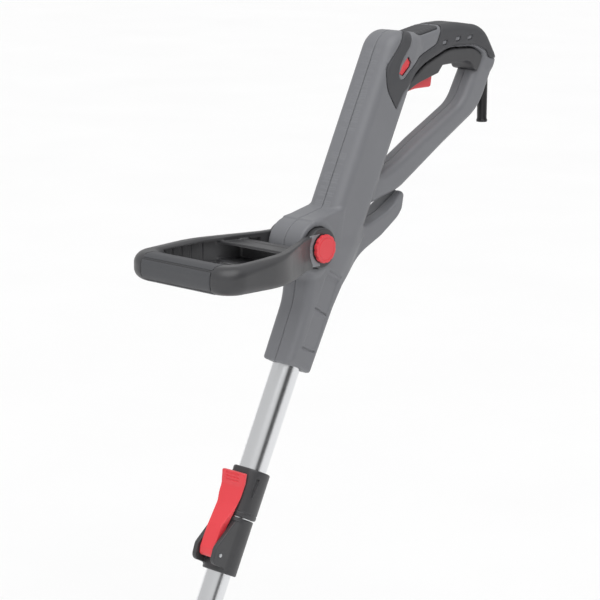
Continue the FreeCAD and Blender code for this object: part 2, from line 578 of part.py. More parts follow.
def guard():
    """Guard behind the line: a half disc with a hanging skirt, screwed under the motor base."""
    half = 200
    disc = turned([(0, GUARD_TOP - 3), (0, GUARD_TOP), (60, GUARD_TOP), (GUARD_R, GUARD_TOP - 14), (GUARD_R, GUARD_TOP - 50),
                   (GUARD_R - 3, GUARD_TOP - 50), (GUARD_R - 3, GUARD_TOP - 16.5), (60, GUARD_TOP - 3)], MOTOR_AXIS)
    behind = floor_plate([(-half, 20 - MOTOR_OFFSET), (-46, -6 - MOTOR_OFFSET, 30), (-40, -46 - MOTOR_OFFSET, 30),
                          (40, -46 - MOTOR_OFFSET, 30), (46, -6 - MOTOR_OFFSET, 30), (half, 20 - MOTOR_OFFSET),
                          (half, half), (-half, half)], -200, 0)
    plate = disc.common(behind)
    plate = plate.cut(rod(motor_axis(-200), motor_axis(0), BEARING_R + 4))
    blade_seat = block((BLADE_X[1], 136), (8, 22), (-128, -112)).translated(MOTOR_AXIS)
    plate = plate.fuse(blade_seat)
    for point in guard_screw_points():
        plate = plate.cut(rod(point - Vector(0, 0, 60), point + Vector(0, 0, 60), 2.1))
    return plate


def guard_screw_points():
    return [motor_axis(GUARD_TOP) + Vector(x, y, 0) for x, y in ((-26, -14), (26, -14), (-24, 20), (24, 20))]


def line_cutter():
    """Small steel blade on the guard's skirt that trims the line to length."""
    return block(BLADE_X, (5, 26), (-132, -112)).translated(MOTOR_AXIS)


def spool_carrier():
    """Drive hub on the motor shaft, with the drum wall that the line comes out of."""
    low, high = SPOOL_SPAN
    drum = turned([(SHAFT_R + FIT_GAP, high), (SHAFT_R + FIT_GAP, high + 11), (10, high + 11), (12, high + 4),
                   (SPOOL_R, high + 4), (SPOOL_R, low + 1), (SPOOL_R - 2.5, low + 1), (SPOOL_R - 2.5, high + 1), (14, high + 1),
                   (14, high)], MOTOR_AXIS)
    for side in (-1, 1):
        outlet = rod(motor_axis(low + 14), motor_axis(low + 14) + Vector(side * 60, 0, 0), 2.2)
        drum = drum.cut(outlet)
    return drum


def plant_guard_wire():
    """Bent wire hoop in front of the line, hinged on both sides of the motor base."""
    reach = math.radians(30)
    level = WIRE_LEVEL - WIRE_PIVOT_Z
    ends = [Vector(side * WIRE_HOOP_R * math.cos(reach), -WIRE_HOOP_R * math.sin(reach), level) for side in (-1, 1)]
    arc = Part.Arc(ends[0], Vector(0, -WIRE_HOOP_R, level), ends[1]).toShape()
    section = Part.Wire(Part.makeCircle(WIRE_R, ends[0], arc.tangentAt(arc.FirstParameter)))
    wire = Part.Wire([arc]).makePipeShell([section], True, True)
    for side, end in zip((-1, 1), ends):
        knee = Vector(side * (MOTOR_R + 6), 0, 0)
        hook = Vector(side * (MOTOR_R - 1.5), 0, 0)
        for shape in (rod(knee, end, WIRE_R), rod(hook, knee, WIRE_R), Part.makeSphere(WIRE_R, knee),
                      Part.makeSphere(WIRE_R, end)):
            wire = wire.fuse(shape)
    return wire.translated(motor_axis(WIRE_PIVOT_Z))


def build_head():
    keep("tilt_pin", rod(Vector(-21.9, 0, 0), Vector(18.2, 0, 0), TILT_PIN_R), HEAD_PLACE)
    button = round_rims(rod(Vector(TILT_BUTTON_SPAN[0], 0, 0), Vector(TILT_BUTTON_SPAN[1], 0, 0), TILT_BUTTON_R), 0.8)
    keep("tilt_button", button, HEAD_PLACE)
    keep("plant_guard_wire", plant_guard_wire(), HEAD_PLACE)
    keep("motor_cover", motor_cover(), HEAD_PLACE)
    base = motor_base()
    for point in guard_screw_points():
        base = base.fuse(rod(point, point + Vector(0, 0, 16), 4.2))
    for point in guard_screw_points():
        base = base.cut(rod(point - Vector(0, 0, 1), point + Vector(0, 0, 12), 2.0))
    base = base.common(rod(motor_axis(BASE_SPAN[0]), motor_axis(BASE_SPAN[1] + 1), MOTOR_R + 1.5))
    wire_pivot = motor_axis(WIRE_PIVOT_Z)
    for side in (-1, 1):
        inner, outer = Vector(side * (MOTOR_R - 1.7), 0, 0), Vector(side * 60, 0, 0)
        base = base.cut(rod(wire_pivot + inner, wire_pivot + outer, WIRE_R + SLIDE_GAP))
    keep("motor_base", base, HEAD_PLACE)
    keep("guard", guard(), HEAD_PLACE)
    keep("guard_screws", screws(guard_screw_points(), -5.2, 16.5, 1.95, 3.6, Vector(0, 0, 1)), HEAD_PLACE)
    keep("line_cutter", line_cutter(), HEAD_PLACE)
    can = pipe(motor_axis(-60), motor_axis(6), 30.0, 27.0).fuse(turned([(BEARING_R + FIT_GAP, 6), (30, 6), (30, 9),
                                                                       (BEARING_R + FIT_GAP, 9)], MOTOR_AXIS))
    keep("motor_can", can, HEAD_PLACE)
    keep("bearing_upper", bearing(4), HEAD_PLACE)
    keep("bearing_lower", bearing(BASE_SPAN[0] + 5), HEAD_PLACE)
    armature = turned([(0, 16), (SHAFT_R, 16), (SHAFT_R, -8), (18, -8), (18, -50), (SHAFT_R, -50), (SHAFT_R, -96), (0, -96)],
                      MOTOR_AXIS)
    keep("rotor", armature, HEAD_PLACE)
    blades = turned([(SHAFT_R + FIT_GAP, -66), (22, -66), (22, -64), (7, -64), (7, -58), (SHAFT_R + FIT_GAP, -58)], MOTOR_AXIS)
    for turn in range(10):
        vane = block((6.5, 26), (-0.8, 0.8), (-65, -59))
        vane.rotate(Vector(), Vector(0, 0, 1), turn * 36)
        blades = blades.fuse(vane.translated(MOTOR_AXIS))
    keep("cooling_fan", blades, HEAD_PLACE)
    keep("spool_carrier", spool_carrier(), HEAD_PLACE)
    low, high = SPOOL_SPAN
    spool = turned([(15, low + 3), (SPOOL_R - 4, low + 3), (SPOOL_R - 4, low + 5), (18, low + 5), (18, high - 3),
                    (SPOOL_R - 4, high - 3), (SPOOL_R - 4, high - 1), (15, high - 1)], MOTOR_AXIS)
    keep("line_spool", spool, HEAD_PLACE)
    wound = turned([(18, low + 5), (SPOOL_R - 7, low + 5), (SPOOL_R - 7, high - 3), (18, high - 3)], MOTOR_AXIS)
    keep("wound_line", wound, HEAD_PLACE)
    ends = [rod(motor_axis(low + 14) + Vector(side * (SPOOL_R - 6), 0, 0), motor_axis(low + 14) + Vector(side * CUTTING_R, 0, 0),
                0.8) for side in (-1, 1)]
    keep("line_ends", Part.makeCompound(ends), HEAD_PLACE)
    cap = turned([(15.2, low), (SPOOL_R - 1, low), (SPOOL_R + 1, low + 1), (SPOOL_R + 1, low + 9), (SPOOL_R, low + 9),
                  (SPOOL_R, low + 1), (SPOOL_R - 4.5, low + 1), (SPOOL_R - 4.5, low + 2.8), (15.2, low + 2.8)], MOTOR_AXIS)
    keep("spool_cap", cap, HEAD_PLACE)
    button = turned([(0, BUMP_FOOT), (10, BUMP_FOOT + 1), (13.6, BUMP_FOOT + 6), (14.6, low - 2), (14.6, low + 6),
                     (12.6, low + 6), (12.6, low), (9, BUMP_FOOT + 6), (0, BUMP_FOOT + 5)], MOTOR_AXIS)
    keep("bump_button", button, HEAD_PLACE)
    spring = coil_spring(motor_axis(BUMP_FOOT + 6.2), Vector(0, 0, 1), 35.5, 7.2, 0.7, 9)
    keep("bump_spring", spring, HEAD_PLACE)


if __name__ == "__main__":
    build_handle()
    build_aux_handle()
    build_shaft()
    build_head()
    os.makedirs("parts", exist_ok=True)
    for name, shape in PARTS.items():
        shape.exportStep(f"parts/{name}.step")
        print(f"{name:24s} valid {shape.isValid()} solids {len(shape.Solids)} volume {shape.Volume / 1000:.2f} cm3")
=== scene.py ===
"""String trimmer with a telescopic shaft: the visible pieces, modelled over its CAD frame.

Moulded pieces are described as distance fields in millimetres and turned into meshes. Handle and shaft
pieces use the shaft frame: X to the operator's left, Y square to the shaft towards the operator, Z up along
the shaft, zero at the lower end of the handle's neck. Head and loop pieces use upright frames at their pivots.
"""

import math
from functools import partial

import bmesh
import bpy
import numpy as np
from bpy.props import FloatProperty, FloatVectorProperty, IntProperty, PointerProperty
from mathutils import Matrix, Vector


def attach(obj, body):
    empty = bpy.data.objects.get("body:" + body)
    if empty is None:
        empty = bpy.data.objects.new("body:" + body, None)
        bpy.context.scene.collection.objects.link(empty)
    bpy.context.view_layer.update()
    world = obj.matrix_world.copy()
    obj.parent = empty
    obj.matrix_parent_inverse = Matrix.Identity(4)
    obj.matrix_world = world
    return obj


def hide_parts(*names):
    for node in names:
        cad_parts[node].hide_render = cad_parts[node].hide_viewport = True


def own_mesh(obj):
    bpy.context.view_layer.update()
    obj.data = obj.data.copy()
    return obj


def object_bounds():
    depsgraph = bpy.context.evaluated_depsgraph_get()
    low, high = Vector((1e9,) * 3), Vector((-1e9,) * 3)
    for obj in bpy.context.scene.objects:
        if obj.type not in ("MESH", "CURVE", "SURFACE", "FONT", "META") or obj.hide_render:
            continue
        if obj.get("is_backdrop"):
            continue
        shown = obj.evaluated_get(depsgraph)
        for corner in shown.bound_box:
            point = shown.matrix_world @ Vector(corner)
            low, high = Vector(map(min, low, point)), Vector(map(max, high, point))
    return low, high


bl_info = {
    "name": "String trimmer",
    "version": (1, 0, 0),
    "blender": (4, 5, 0),
    "location": "View3D > Sidebar > Trimmer",
    "description": "Builds the visible pieces of a corded string trimmer over its CAD frame",
    "category": "Object",
}

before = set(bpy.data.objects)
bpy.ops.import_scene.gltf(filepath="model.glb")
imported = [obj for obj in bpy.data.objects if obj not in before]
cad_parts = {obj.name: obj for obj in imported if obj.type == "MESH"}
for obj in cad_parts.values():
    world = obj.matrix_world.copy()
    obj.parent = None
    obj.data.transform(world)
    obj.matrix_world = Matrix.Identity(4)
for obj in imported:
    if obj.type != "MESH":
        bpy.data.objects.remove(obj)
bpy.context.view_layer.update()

MM = 0.001
LEAN = math.radians(27.2)
GRIP_CENTRE = (0.0, 88.0, 382.0)
PIVOT = (0.0, -35.4, 116.3)
TILT_PIN = (0.0, 0.0, -560.0)
FAR = 1000.0
MOST_TRIANGLES = 150000
SHARP = 35
MATERIALS = {}
TREES = {}


# ---------------------------------------------------------------- places


def shaft_matrix():
    """From the shaft frame in millimetres to the row frame in metres."""
    turn = Matrix.Rotation(-LEAN, 4, "X")
    return turn @ Matrix.Scale(MM, 4) @ Matrix.Translation([-v for v in GRIP_CENTRE])


def upright_matrix(point):
    """From an upright frame at a point of the shaft frame, in millimetres, to the row frame in metres."""
    return Matrix.Translation(shaft_matrix() @ Vector(point)) @ Matrix.Scale(MM, 4)


# ---------------------------------------------------------------- distance fields


class Grid:
    """A block of space sampled at steps in X, Y and Z, as three arrays that broadcast against each other."""

    def __init__(self, low, high, step):
        self.low = np.array(low, np.float32)
        self.step = np.broadcast_to(step, 3)
        axes = [low[i] + s * np.arange(int((high[i] - low[i]) / s) + 2, dtype=np.float32)
                for i, s in enumerate(self.step)]
        self.x = axes[0][:, None, None]
        self.y = axes[1][None, :, None]
        self.z = axes[2][None, None, :]


def rounded(corners):
    """Points of a closed outline through (u, v, radius) corners, each rounded to its radius."""
    count = len(corners)
    places = [np.array(c[:2], float) for c in corners]
    points = []
    for i, here in enumerate(places):
        radius = corners[i][2] if len(corners[i]) > 2 else 0
        if not radius:
            points.append(here)
            continue
        back = places[i - 1] - here
        on = places[(i + 1) % count] - here
        back /= np.linalg.norm(back)
        on /= np.linalg.norm(on)
        half = math.acos(np.clip(back @ on, -1, 1)) / 2
        reach = radius / math.tan(half)
        middle = here + (back + on) / np.linalg.norm(back + on) * radius / math.sin(half)
        start = here + back * reach - middle
        end = here + on * reach - middle
        turn = math.atan2(start[0] * end[1] - start[1] * end[0], start @ end)
        steps = max(2, math.ceil(abs(turn) * math.sqrt(radius) / 0.4))
        for k in range(steps + 1):
            angle = turn * k / steps
            c, s = math.cos(angle), math.sin(angle)
            points.append(middle + np.array([c * start[0] - s * start[1], s * start[0] + c * start[1]]))
    return np.array(points)


def flat_distance(points, u, v):
    """Signed distance from a closed outline, negative inside, at every pair of u and v."""
    u, v = np.broadcast_arrays(u, v)
    nearest = np.full(u.shape, FAR, np.float32) ** 2
    inside = np.zeros(u.shape, bool)
    for a, b in zip(points, np.roll(points, -1, axis=0)):
        du, dv = b - a
        length = max(du * du + dv * dv, 1e-9)
        t = np.clip(((u - a[0]) * du + (v - a[1]) * dv) / length, 0, 1)
        nearest = np.minimum(nearest, (u - a[0] - t * du) ** 2 + (v - a[1] - t * dv) ** 2)
        if a[1] != b[1]:
            crossing = ((v > a[1]) != (v > b[1])) & (u < a[0] + (v - a[1]) * du / dv)
            inside ^= crossing
    return np.where(inside, -1, 1) * np.sqrt(nearest)


def meet(a, b, radius=0.0):
    """Where both fields are solid, with the edge between them rounded."""
    if np.ndim(radius) == 0 and radius == 0:
        return np.maximum(a, b)
    p, q = np.maximum(a + radius, 0), np.maximum(b + radius, 0)
    return np.minimum(np.maximum(a, b), -radius) + np.sqrt(p * p + q * q)


def join(a, b, radius=0.0):
    """Where either field is solid, with the corner between them filled."""
    return -meet(-a, -b, radius)


def cut(a, b, radius=0.0):
    """The first field without the second, with the edge rounded."""
    return meet(a, -b, radius)


def side_outline(grid, corners):
    """Distance from a side outline of (y, z, radius) corners."""
    return flat_distance(rounded(corners), grid.y, grid.z)


def plan_outline(grid, corners):
    """Distance from a plan outline of (x, y, radius) corners."""
    return flat_distance(rounded(corners), grid.x, grid.y)


def slab(grid, corners, half, edge):
    """Prism along X with rounded rims, from a side outline."""
    return meet(side_outline(grid, corners), np.abs(grid.x) - half, edge)


def plate(grid, corners, low, high, edge=0.0):
    """Prism along X between two places, from a side outline."""
    middle, half = (low + high) / 2, (high - low) / 2
    return meet(side_outline(grid, corners), np.abs(grid.x - middle) - half, edge)


def disc(grid, centre, radius, low, high, edge=0.0):
    """Cylinder along X between two places, about a (y, z) centre."""
    across = np.sqrt((grid.y - centre[0]) ** 2 + (grid.z - centre[1]) ** 2) - radius
    return meet(across, np.abs(grid.x - (low + high) / 2) - (high - low) / 2, edge)


def post(grid, radius, low, high, edge=0.0, centre=(0.0, 0.0)):
    """Cylinder along Z between two places, about an (x, y) centre."""
    across = np.sqrt((grid.x - centre[0]) ** 2 + (grid.y - centre[1]) ** 2) - radius
    return meet(across, np.abs(grid.z - (low + high) / 2) - (high - low) / 2, edge)


def brick(grid, x, y, z, edge=0.0):
    """Box from three (low, high) pairs."""
    sides = [np.abs(axis - (pair[0] + pair[1]) / 2) - (pair[1] - pair[0]) / 2
             for axis, pair in ((grid.x, x), (grid.y, y), (grid.z, z))]
    return meet(meet(sides[0], sides[1], edge), sides[2], edge)


def turned(grid, profile, centre=(0.0, 0.0)):
    """Solid of revolution about Z, from (radius, height) corners."""
    radius = np.sqrt((grid.x - centre[0]) ** 2 + (grid.y - centre[1]) ** 2)
    columns = np.unique(np.round(radius, 1))
    table = flat_distance(rounded(profile), columns[:, None], grid.z[0])
    place = np.searchsorted(columns, np.round(radius[..., 0], 1))
    return table[np.clip(place, 0, len(columns) - 1)]


def rod(grid, start, end, radius):
    """Round bar with ball ends between two points."""
    a, d = np.array(start, float), np.array(end, float) - np.array(start, float)
    t = ((grid.x - a[0]) * d[0] + (grid.y - a[1]) * d[1] + (grid.z - a[2]) * d[2]) / (d @ d)
    t = np.clip(t, 0, 1)
    off = (grid.x - a[0] - t * d[0]) ** 2 + (grid.y - a[1] - t * d[1]) ** 2 + (grid.z - a[2] - t * d[2]) ** 2
    return np.sqrt(off) - radius


# ---------------------------------------------------------------- meshes


def surface_points(values, grid):
    """Vertices and quads of the zero surface of a field: one vertex in each cell that the surface crosses."""
    values = np.pad(values, 1, constant_values=FAR)
    solid = values < 0
    size = tuple(n - 1 for n in values.shape)
    corners = [np.array((i, j, k)) for i in (0, 1) for j in (0, 1) for k in (0, 1)]
    shifted = [tuple(slice(c[i], c[i] + size[i]) for i in range(3)) for c in corners]
    filled = sum(solid[window].astype(np.int8) for window in shifted)
    mixed = (filled > 0) & (filled < 8)
    cells = np.argwhere(mixed)
    index = np.full(size, -1, np.int32)
    index[mixed] = np.arange(len(cells))
    total = np.zeros((len(cells), 3))
    hits = np.zeros(len(cells))
    for a in corners:
        for axis in range(3):
            if a[axis]:
                continue
            b = a.copy()
            b[axis] = 1
            first, last = values[tuple((cells + a).T)], values[tuple((cells + b).T)]
            crossed = (first < 0) != (last < 0)
            share = np.where(crossed, first / np.where(crossed, first - last, 1), 0)
            total += np.where(crossed[:, None], a + share[:, None] * (b - a), 0)
            hits += crossed
    points = grid.low + grid.step * (cells + total / hits[:, None] - 1)
    quads = []
    for axis in range(3):
        u, v = (axis + 1) % 3, (axis + 2) % 3
        low = [slice(None)] * 3
        high = [slice(None)] * 3
        low[axis], high[axis] = slice(None, -1), slice(1, None)
        starts = np.argwhere(solid[tuple(low)] != solid[tuple(high)])
        step_u, step_v = np.eye(3, dtype=int)[u], np.eye(3, dtype=int)[v]
        around = [starts - step_u - step_v, starts - step_v, starts, starts - step_u]
        quad = np.stack([index[tuple(p.T)] for p in around], axis=1)
        outward = solid[tuple(starts.T)]
        quads.append(np.where(outward[:, None], quad, quad[:, ::-1]))
    return points, np.concatenate(quads)


def mesh_object(name, points, faces, matrix):
    """Object at the origin with its place in its mesh."""
    mesh = bpy.data.meshes.new(name)
    mesh.vertices.add(len(points))
    placed = np.asarray(points, float) @ np.array(matrix.to_3x3()).T + np.array(matrix.translation)
    mesh.vertices.foreach_set("co", placed.astype(np.float32).ravel())
    mesh.loops.add(faces.size)
    mesh.loops.foreach_set("vertex_index", faces.ravel().astype(np.int32))
    mesh.polygons.add(len(faces))
    mesh.polygons.foreach_set("loop_start", np.arange(0, faces.size, faces.shape[1], dtype=np.int32))
    mesh.update(calc_edges=True)
    mesh.validate()
    mesh.shade_smooth()
    piece = bpy.data.objects.new(name, mesh)
    bpy.context.scene.collection.objects.link(piece)
    return piece


def shade(piece, degrees):
    """Smooth shading that keeps edges sharper than the angle."""
    mesh = piece.data
    mesh.shade_smooth()
    work = bmesh.new()
    work.from_mesh(mesh)
    for edge in work.edges:
        edge.smooth = not edge.is_manifold or edge.calc_face_angle(0) < math.radians(degrees)
    work.to_mesh(mesh)
    work.free()


def thinned(piece):
    """Collapses the flattest parts of a piece until it has no more than MOST_TRIANGLES triangles."""
    count = 2 * len(piece.data.polygons)
    if count > MOST_TRIANGLES:
        modifier = piece.modifiers.new("thin", "DECIMATE")
        modifier.ratio = MOST_TRIANGLES / count
        bpy.context.view_layer.update()
        mesh = bpy.data.meshes.new_from_object(piece.evaluated_get(bpy.context.evaluated_depsgraph_get()))
        piece.modifiers.clear()
        piece.data = mesh


def moulded(name, values, grid, matrix):
    """Piece from a distance field."""
    points, quads = surface_points(values, grid)
    piece = mesh_object(name, points, quads, matrix)
    thinned(piece)
    shade(piece, 70)
    return piece


def finished(piece, body, node, key):
    """Gives a piece its material and ties it to the frame in place of its CAD node."""
    piece.data.materials.clear()
    piece.data.materials.append(MATERIALS[key])
    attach(piece, body)
    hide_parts(node)
    return piece


def cast(node, body, form, low, high, step, place, key, name=None):
    """Builds a moulded piece from its field, in place of its CAD node."""
    grid = Grid(low, high, step)
    piece = moulded((name or node) + "_form", form(grid), grid, place)
    return finished(piece, body, node, key)


def refined(node, body, key, bevel):
    """Copy of a CAD node with its flat faces joined up and its sharp edges softened."""
    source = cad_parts[node]
    mesh = source.data.copy()
    work = bmesh.new()
    work.from_mesh(mesh)
    bmesh.ops.remove_doubles(work, verts=work.verts, dist=2e-6)
    bmesh.ops.dissolve_limit(work, angle_limit=math.radians(0.5), verts=work.verts, edges=work.edges)
    sharp = [e for e in work.edges if e.is_manifold and e.calc_face_angle(0) > math.radians(SHARP)]
    if bevel:
        bmesh.ops.bevel(work, geom=sharp, offset=bevel * MM, segments=2, profile=0.5, affect="EDGES",
                        clamp_overlap=True)
    bmesh.ops.recalc_face_normals(work, faces=work.faces)
    bmesh.ops.triangulate(work, faces=work.faces)
    work.to_mesh(mesh)
    work.free()
    piece = bpy.data.objects.new(node + "_form", mesh)
    bpy.context.scene.collection.objects.link(piece)
    shade(piece, SHARP)
    return finished(piece, body, node, key)


# ---------------------------------------------------------------- materials


def colour(code):
    """Linear colour from an sRGB hex code."""
    channels = [int(code[i:i + 2], 16) / 255 for i in (0, 2, 4)]
    linear = [c / 12.92 if c <= 0.04045 else ((c + 0.055) / 1.055) ** 2.4 for c in channels]
    return (*linear, 1.0)


def add_node(tree, kind, inputs=None, **settings):
    """Adds a node, sets its properties, and fills its inputs with constants or links to them."""
    node = tree.nodes.new(kind)
    for key, value in settings.items():
        setattr(node, key, value)
    for key, value in (inputs or {}).items():
        if isinstance(value, bpy.types.NodeSocket):
            tree.links.new(value, node.inputs[key])
        else:
            node.inputs[key].default_value = value
    return node


def start_material(name):
    """Empty node material, with its tree, its Principled shader and Object coordinates in metres."""
    material = bpy.data.materials.new(name)
    material.use_nodes = True
    tree = material.node_tree
    tree.nodes.clear()
    place = add_node(tree, "ShaderNodeTexCoord").outputs["Object"]
    shader = add_node(tree, "ShaderNodeBsdfPrincipled")
    output = add_node(tree, "ShaderNodeOutputMaterial")
    tree.links.new(shader.outputs["BSDF"], output.inputs["Surface"])
    return material, tree, shader, place


def noise(tree, place, size, detail=2.0):
    """Noise with features of a real size in millimetres, from 0 to 1."""
    values = {"Vector": place, "Scale": 1 / (size * MM), "Detail": detail}
    return add_node(tree, "ShaderNodeTexNoise", values).outputs["Fac"]


def spread(tree, factor, low, high):
    """Maps the usual span of a noise to a range of values."""
    values = {"Value": factor, "From Min": 0.25, "From Max": 0.75, "To Min": low, "To Max": high}
    return add_node(tree, "ShaderNodeMapRange", values).outputs["Result"]


def mixed(tree, factor, first, second):
    """Mix of two colours."""
    node = tree.nodes.new("ShaderNodeMix")
    node.data_type = "RGBA"
    tree.links.new(factor, node.inputs[0])
    node.inputs[6].default_value = first
    node.inputs[7].default_value = second
    return node.outputs[2]


def plastic(name, base, worn, rough, grain, depth, coat=0.0):
    """Moulded plastic or rubber: slight changes of tone, uneven gloss and a fine moulded grain."""
    material, tree, shader, place = start_material(name)
    tone = noise(tree, place, 60, 3)
    tree.links.new(mixed(tree, tone, base, colour(worn)), shader.inputs["Base Color"])
    gloss = noise(tree, place, 25, 4)
    tree.links.new(spread(tree, gloss, rough - 0.05, rough + 0.05), shader.inputs["Roughness"])
    texture = noise(tree, place, grain, 2)
    bump = add_node(tree, "ShaderNodeBump", {"Height": texture, "Strength": 0.35, "Distance": depth * MM})
    tree.links.new(bump.outputs["Normal"], shader.inputs["Normal"])
    shader.inputs["Coat Weight"].default_value = coat
    shader.inputs["Coat Roughness"].default_value = 0.2
    return material


def drawn_metal(name, base, worn, rough, lean=0.0):
    """Drawn or turned metal with faint lines along its own direction, tilted by lean about X."""
    material, tree, shader, place = start_material(name)
    values = {"Vector": place, "Rotation": (-lean, 0, 0), "Scale": (1, 1, 200)}
    along = add_node(tree, "ShaderNodeMapping", values, vector_type="TEXTURE")
    lines = noise(tree, along.outputs["Vector"], 1.5, 2)
    cloud = noise(tree, place, 90, 2)
    tree.links.new(mixed(tree, cloud, colour(base), colour(worn)), shader.inputs["Base Color"])
    tree.links.new(spread(tree, lines, rough - 0.02, rough + 0.03), shader.inputs["Roughness"])
    shader.inputs["Metallic"].default_value = 1.0
    return material


def grained_metal(name, base, worn, rough, size):
    """Plated or rolled metal with a fine spangle."""
    material, tree, shader, place = start_material(name)
    grain = noise(tree, place, size, 4)
    tree.links.new(mixed(tree, grain, colour(base), colour(worn)), shader.inputs["Base Color"])
    tree.links.new(spread(tree, noise(tree, place, size * 6, 3), rough - 0.06, rough + 0.08),
                   shader.inputs["Roughness"])
    bump = add_node(tree, "ShaderNodeBump", {"Height": grain, "Strength": 0.15, "Distance": 0.02 * MM})
    tree.links.new(bump.outputs["Normal"], shader.inputs["Normal"])
    shader.inputs["Metallic"].default_value = 1.0
    return material


def layered_steel(name):
    """Rotor: varnished sheets of electrical steel, half a millimetre thick, stacked upright."""
    material, tree, shader, place = start_material(name)
    values = {"Vector": place, "Scale": 1 / (2 * 0.5 * MM) / 10, "Distortion": 0.0}
    sheets = add_node(tree, "ShaderNodeTexWave", values, bands_direction="Z")
    base = mixed(tree, sheets.outputs["Fac"], colour("5d5a57"), colour("8b8a88"))
    tree.links.new(base, shader.inputs["Base Color"])
    tree.links.new(spread(tree, noise(tree, place, 8, 3), 0.35, 0.5), shader.inputs["Roughness"])
    shader.inputs["Metallic"].default_value = 0.85
    return material


def nylon_line(name):
    """Extruded nylon line, slightly see-through."""
    material, tree, shader, place = start_material(name)
    tree.links.new(mixed(tree, noise(tree, place, 12, 2), colour("e8e9e2"), colour("d4d8cc")),
                   shader.inputs["Base Color"])
    tree.links.new(spread(tree, noise(tree, place, 2, 2), 0.22, 0.34), shader.inputs["Roughness"])
    shader.inputs["Subsurface Weight"].default_value = 0.4
    shader.inputs["Subsurface Scale"].default_value = 1.2 * MM
    return material


def studio_floor(name):
    """Matt painted studio floor."""
    material, tree, shader, place = start_material(name)
    tree.links.new(mixed(tree, noise(tree, place, 400, 3), colour("f4f4f4"), colour("f8f8f8")),
                   shader.inputs["Base Color"])
    tree.links.new(spread(tree, noise(tree, place, 60, 3), 0.85, 0.95), shader.inputs["Roughness"])
    return material


def make_materials(sizes):
    """Every material, by the name of what it is made of."""
    grain = in_mm(sizes.grain)
    return {
        "housing_abs": plastic("moulded_abs_grey", sizes.housing_colour, "7b7c80", 0.46, grain, 0.05),
        "overmould": plastic("thermoplastic_rubber", sizes.grip_colour, "49494c", 0.6, grain * 0.8, 0.06),
        "nylon": plastic("glass_filled_nylon", colour("3a3a3c"), "434345", 0.4, grain * 1.2, 0.05),
        "arm": plastic("glass_filled_nylon_arm", colour("3b3b3d"), "434345", 0.38, grain, 0.04),
        "sleeve": plastic("soft_grip_rubber", colour("46474a"), "4c4d50", 0.55, grain, 0.05),
        "boot": plastic("pvc_boot_black", colour("141416"), "1b1b1d", 0.3, grain, 0.02),
        "lead": plastic("pvc_lead_black", colour("1a1a1b"), "222224", 0.42, grain, 0.02),
        "red": plastic("moulded_abs_red", sizes.accent_colour, "e8414a", 0.36, grain, 0.03, 0.1),
        "label": plastic("printed_foil_label", colour("808387"), "898c90", 0.42, grain * 2, 0.02),
        "tube": drawn_metal("anodised_aluminium", "e6e7e9", "dedfe1", 0.2, LEAN),
        "steel": grained_metal("zinc_plated_steel", "c3c5c6", "aeb1b5", 0.3, 0.8),
        "spring": grained_metal("spring_steel", "8d8c8a", "a3a29f", 0.32, 0.5),
        "bright": drawn_metal("ground_bearing_steel", "cfd0d2", "c2c3c6", 0.16),
        "brass": grained_metal("turned_brass", "c9a45a", "bd9447", 0.28, 0.7),
        "laminations": layered_steel("laminated_rotor_steel"),
        "line": nylon_line("nylon_monofilament"),
        "floor": studio_floor("studio_floor_paint"),
    }


# ---------------------------------------------------------------- handle housing

COLUMN = [(-24, 96), (-24, 352, 26), (22, 364, 14), (28, 300, 30), (27, 160, 60), (14, 96)]
GRIP = [(-8, 300, 12), (-8, 346, 16), (44, 384, 60), (70, 398, 90), (112, 412, 36), (150, 391, 12),
        (146, 372, 6), (126, 386, 10), (108, 387, 30), (72, 371, 60), (40, 338, 60), (17, 297, 8)]
STRUT = [(152, 392, 12), (151, 334, 60), (112, 279, 80), (68, 213, 60), (33, 184, 16), (12, 176, 8),
         (8, 214, 8), (34, 218, 12), (52, 238, 50), (76, 272, 60), (120, 330, 40), (124, 386, 12)]
HOOK = [(10, 92), (24, 98, 30), (38, 134, 60), (60, 160, 40), (76, 186, 30), (82, 213, 4), (77, 215, 4),
        (58, 186, 40), (38, 166, 14), (24, 156, 8), (8, 154)]
HOOK_PLAN = [(-15, 0), (-15, 196, 14), (-7, 216, 9), (7, 216, 9), (15, 196, 14), (15, 0)]
SHOULDER = [(-14, 167), (-50.5, 138.2), (-36, 118), (0, 118)]
NECK = [(-19.5, 0), (-20.5, 60, 60), (-30, 92), (-30, 120), (30, 150), (27, 112, 60), (21.5, 70, 60),
        (19.0, 0)]
LINER = [(24, 298, 2), (40, 318, 60), (66, 340, 1), (69, 350, 2), (109, 372, 12), (119, 366, 4),
         (126, 367, 3), (126, 384, 3), (108, 385.5, 30), (71, 368.5, 60), (43, 340, 60), (19, 300, 2)]
OVERMOULD = [(13.6, 280), (-12, 294, 30), (-19, 312, 20), (-9, 352), (60, 425), (160, 425), (156, 393, 6),
             (134, 385, 3), (126, 390.5, 10), (107.6, 389, 30), (70.8, 372.7, 60), (38.4, 339.2, 60),
             (16, 299.5)]
ISLAND = [(5.4, 302, 5), (-2, 318, 20), (-1, 330, 20), (3, 345), (3, 420), (46, 420), (46, 364, 8),
          (24, 340, 30), (14, 322, 20)]
PAD = [(14, 348), (14, 400), (42, 410), (42, 368)]
WINDOWS = [(57.2, 370.6), (75.4, 382.4), (92.7, 391.2)]
LOCK_OFF = [(5.5, 334), (12, 330.5), (12.5, 326), (7, 314), (1, 313.5), (0.5, 321)]
TRIGGER = [(25, 306, 2), (33, 304.5, 3), (47, 314.5, 40), (69, 325.5, 3), (63.5, 342, 3), (52, 335, 20),
           (26, 317, 3)]
SCREWS = [(0, 158, 21.5), (0, 232, 21.5), (0, 300, 21.5), (139, 381, 18), (139, 330, 14), (98, 276, 14),
          (52, 212, 14)]
CORD_EXIT = (0.0, 149.0, 381.0)
HUB_CENTRE = (PIVOT[1], PIVOT[2])
SKIN = 1.4
WALL = 3.0


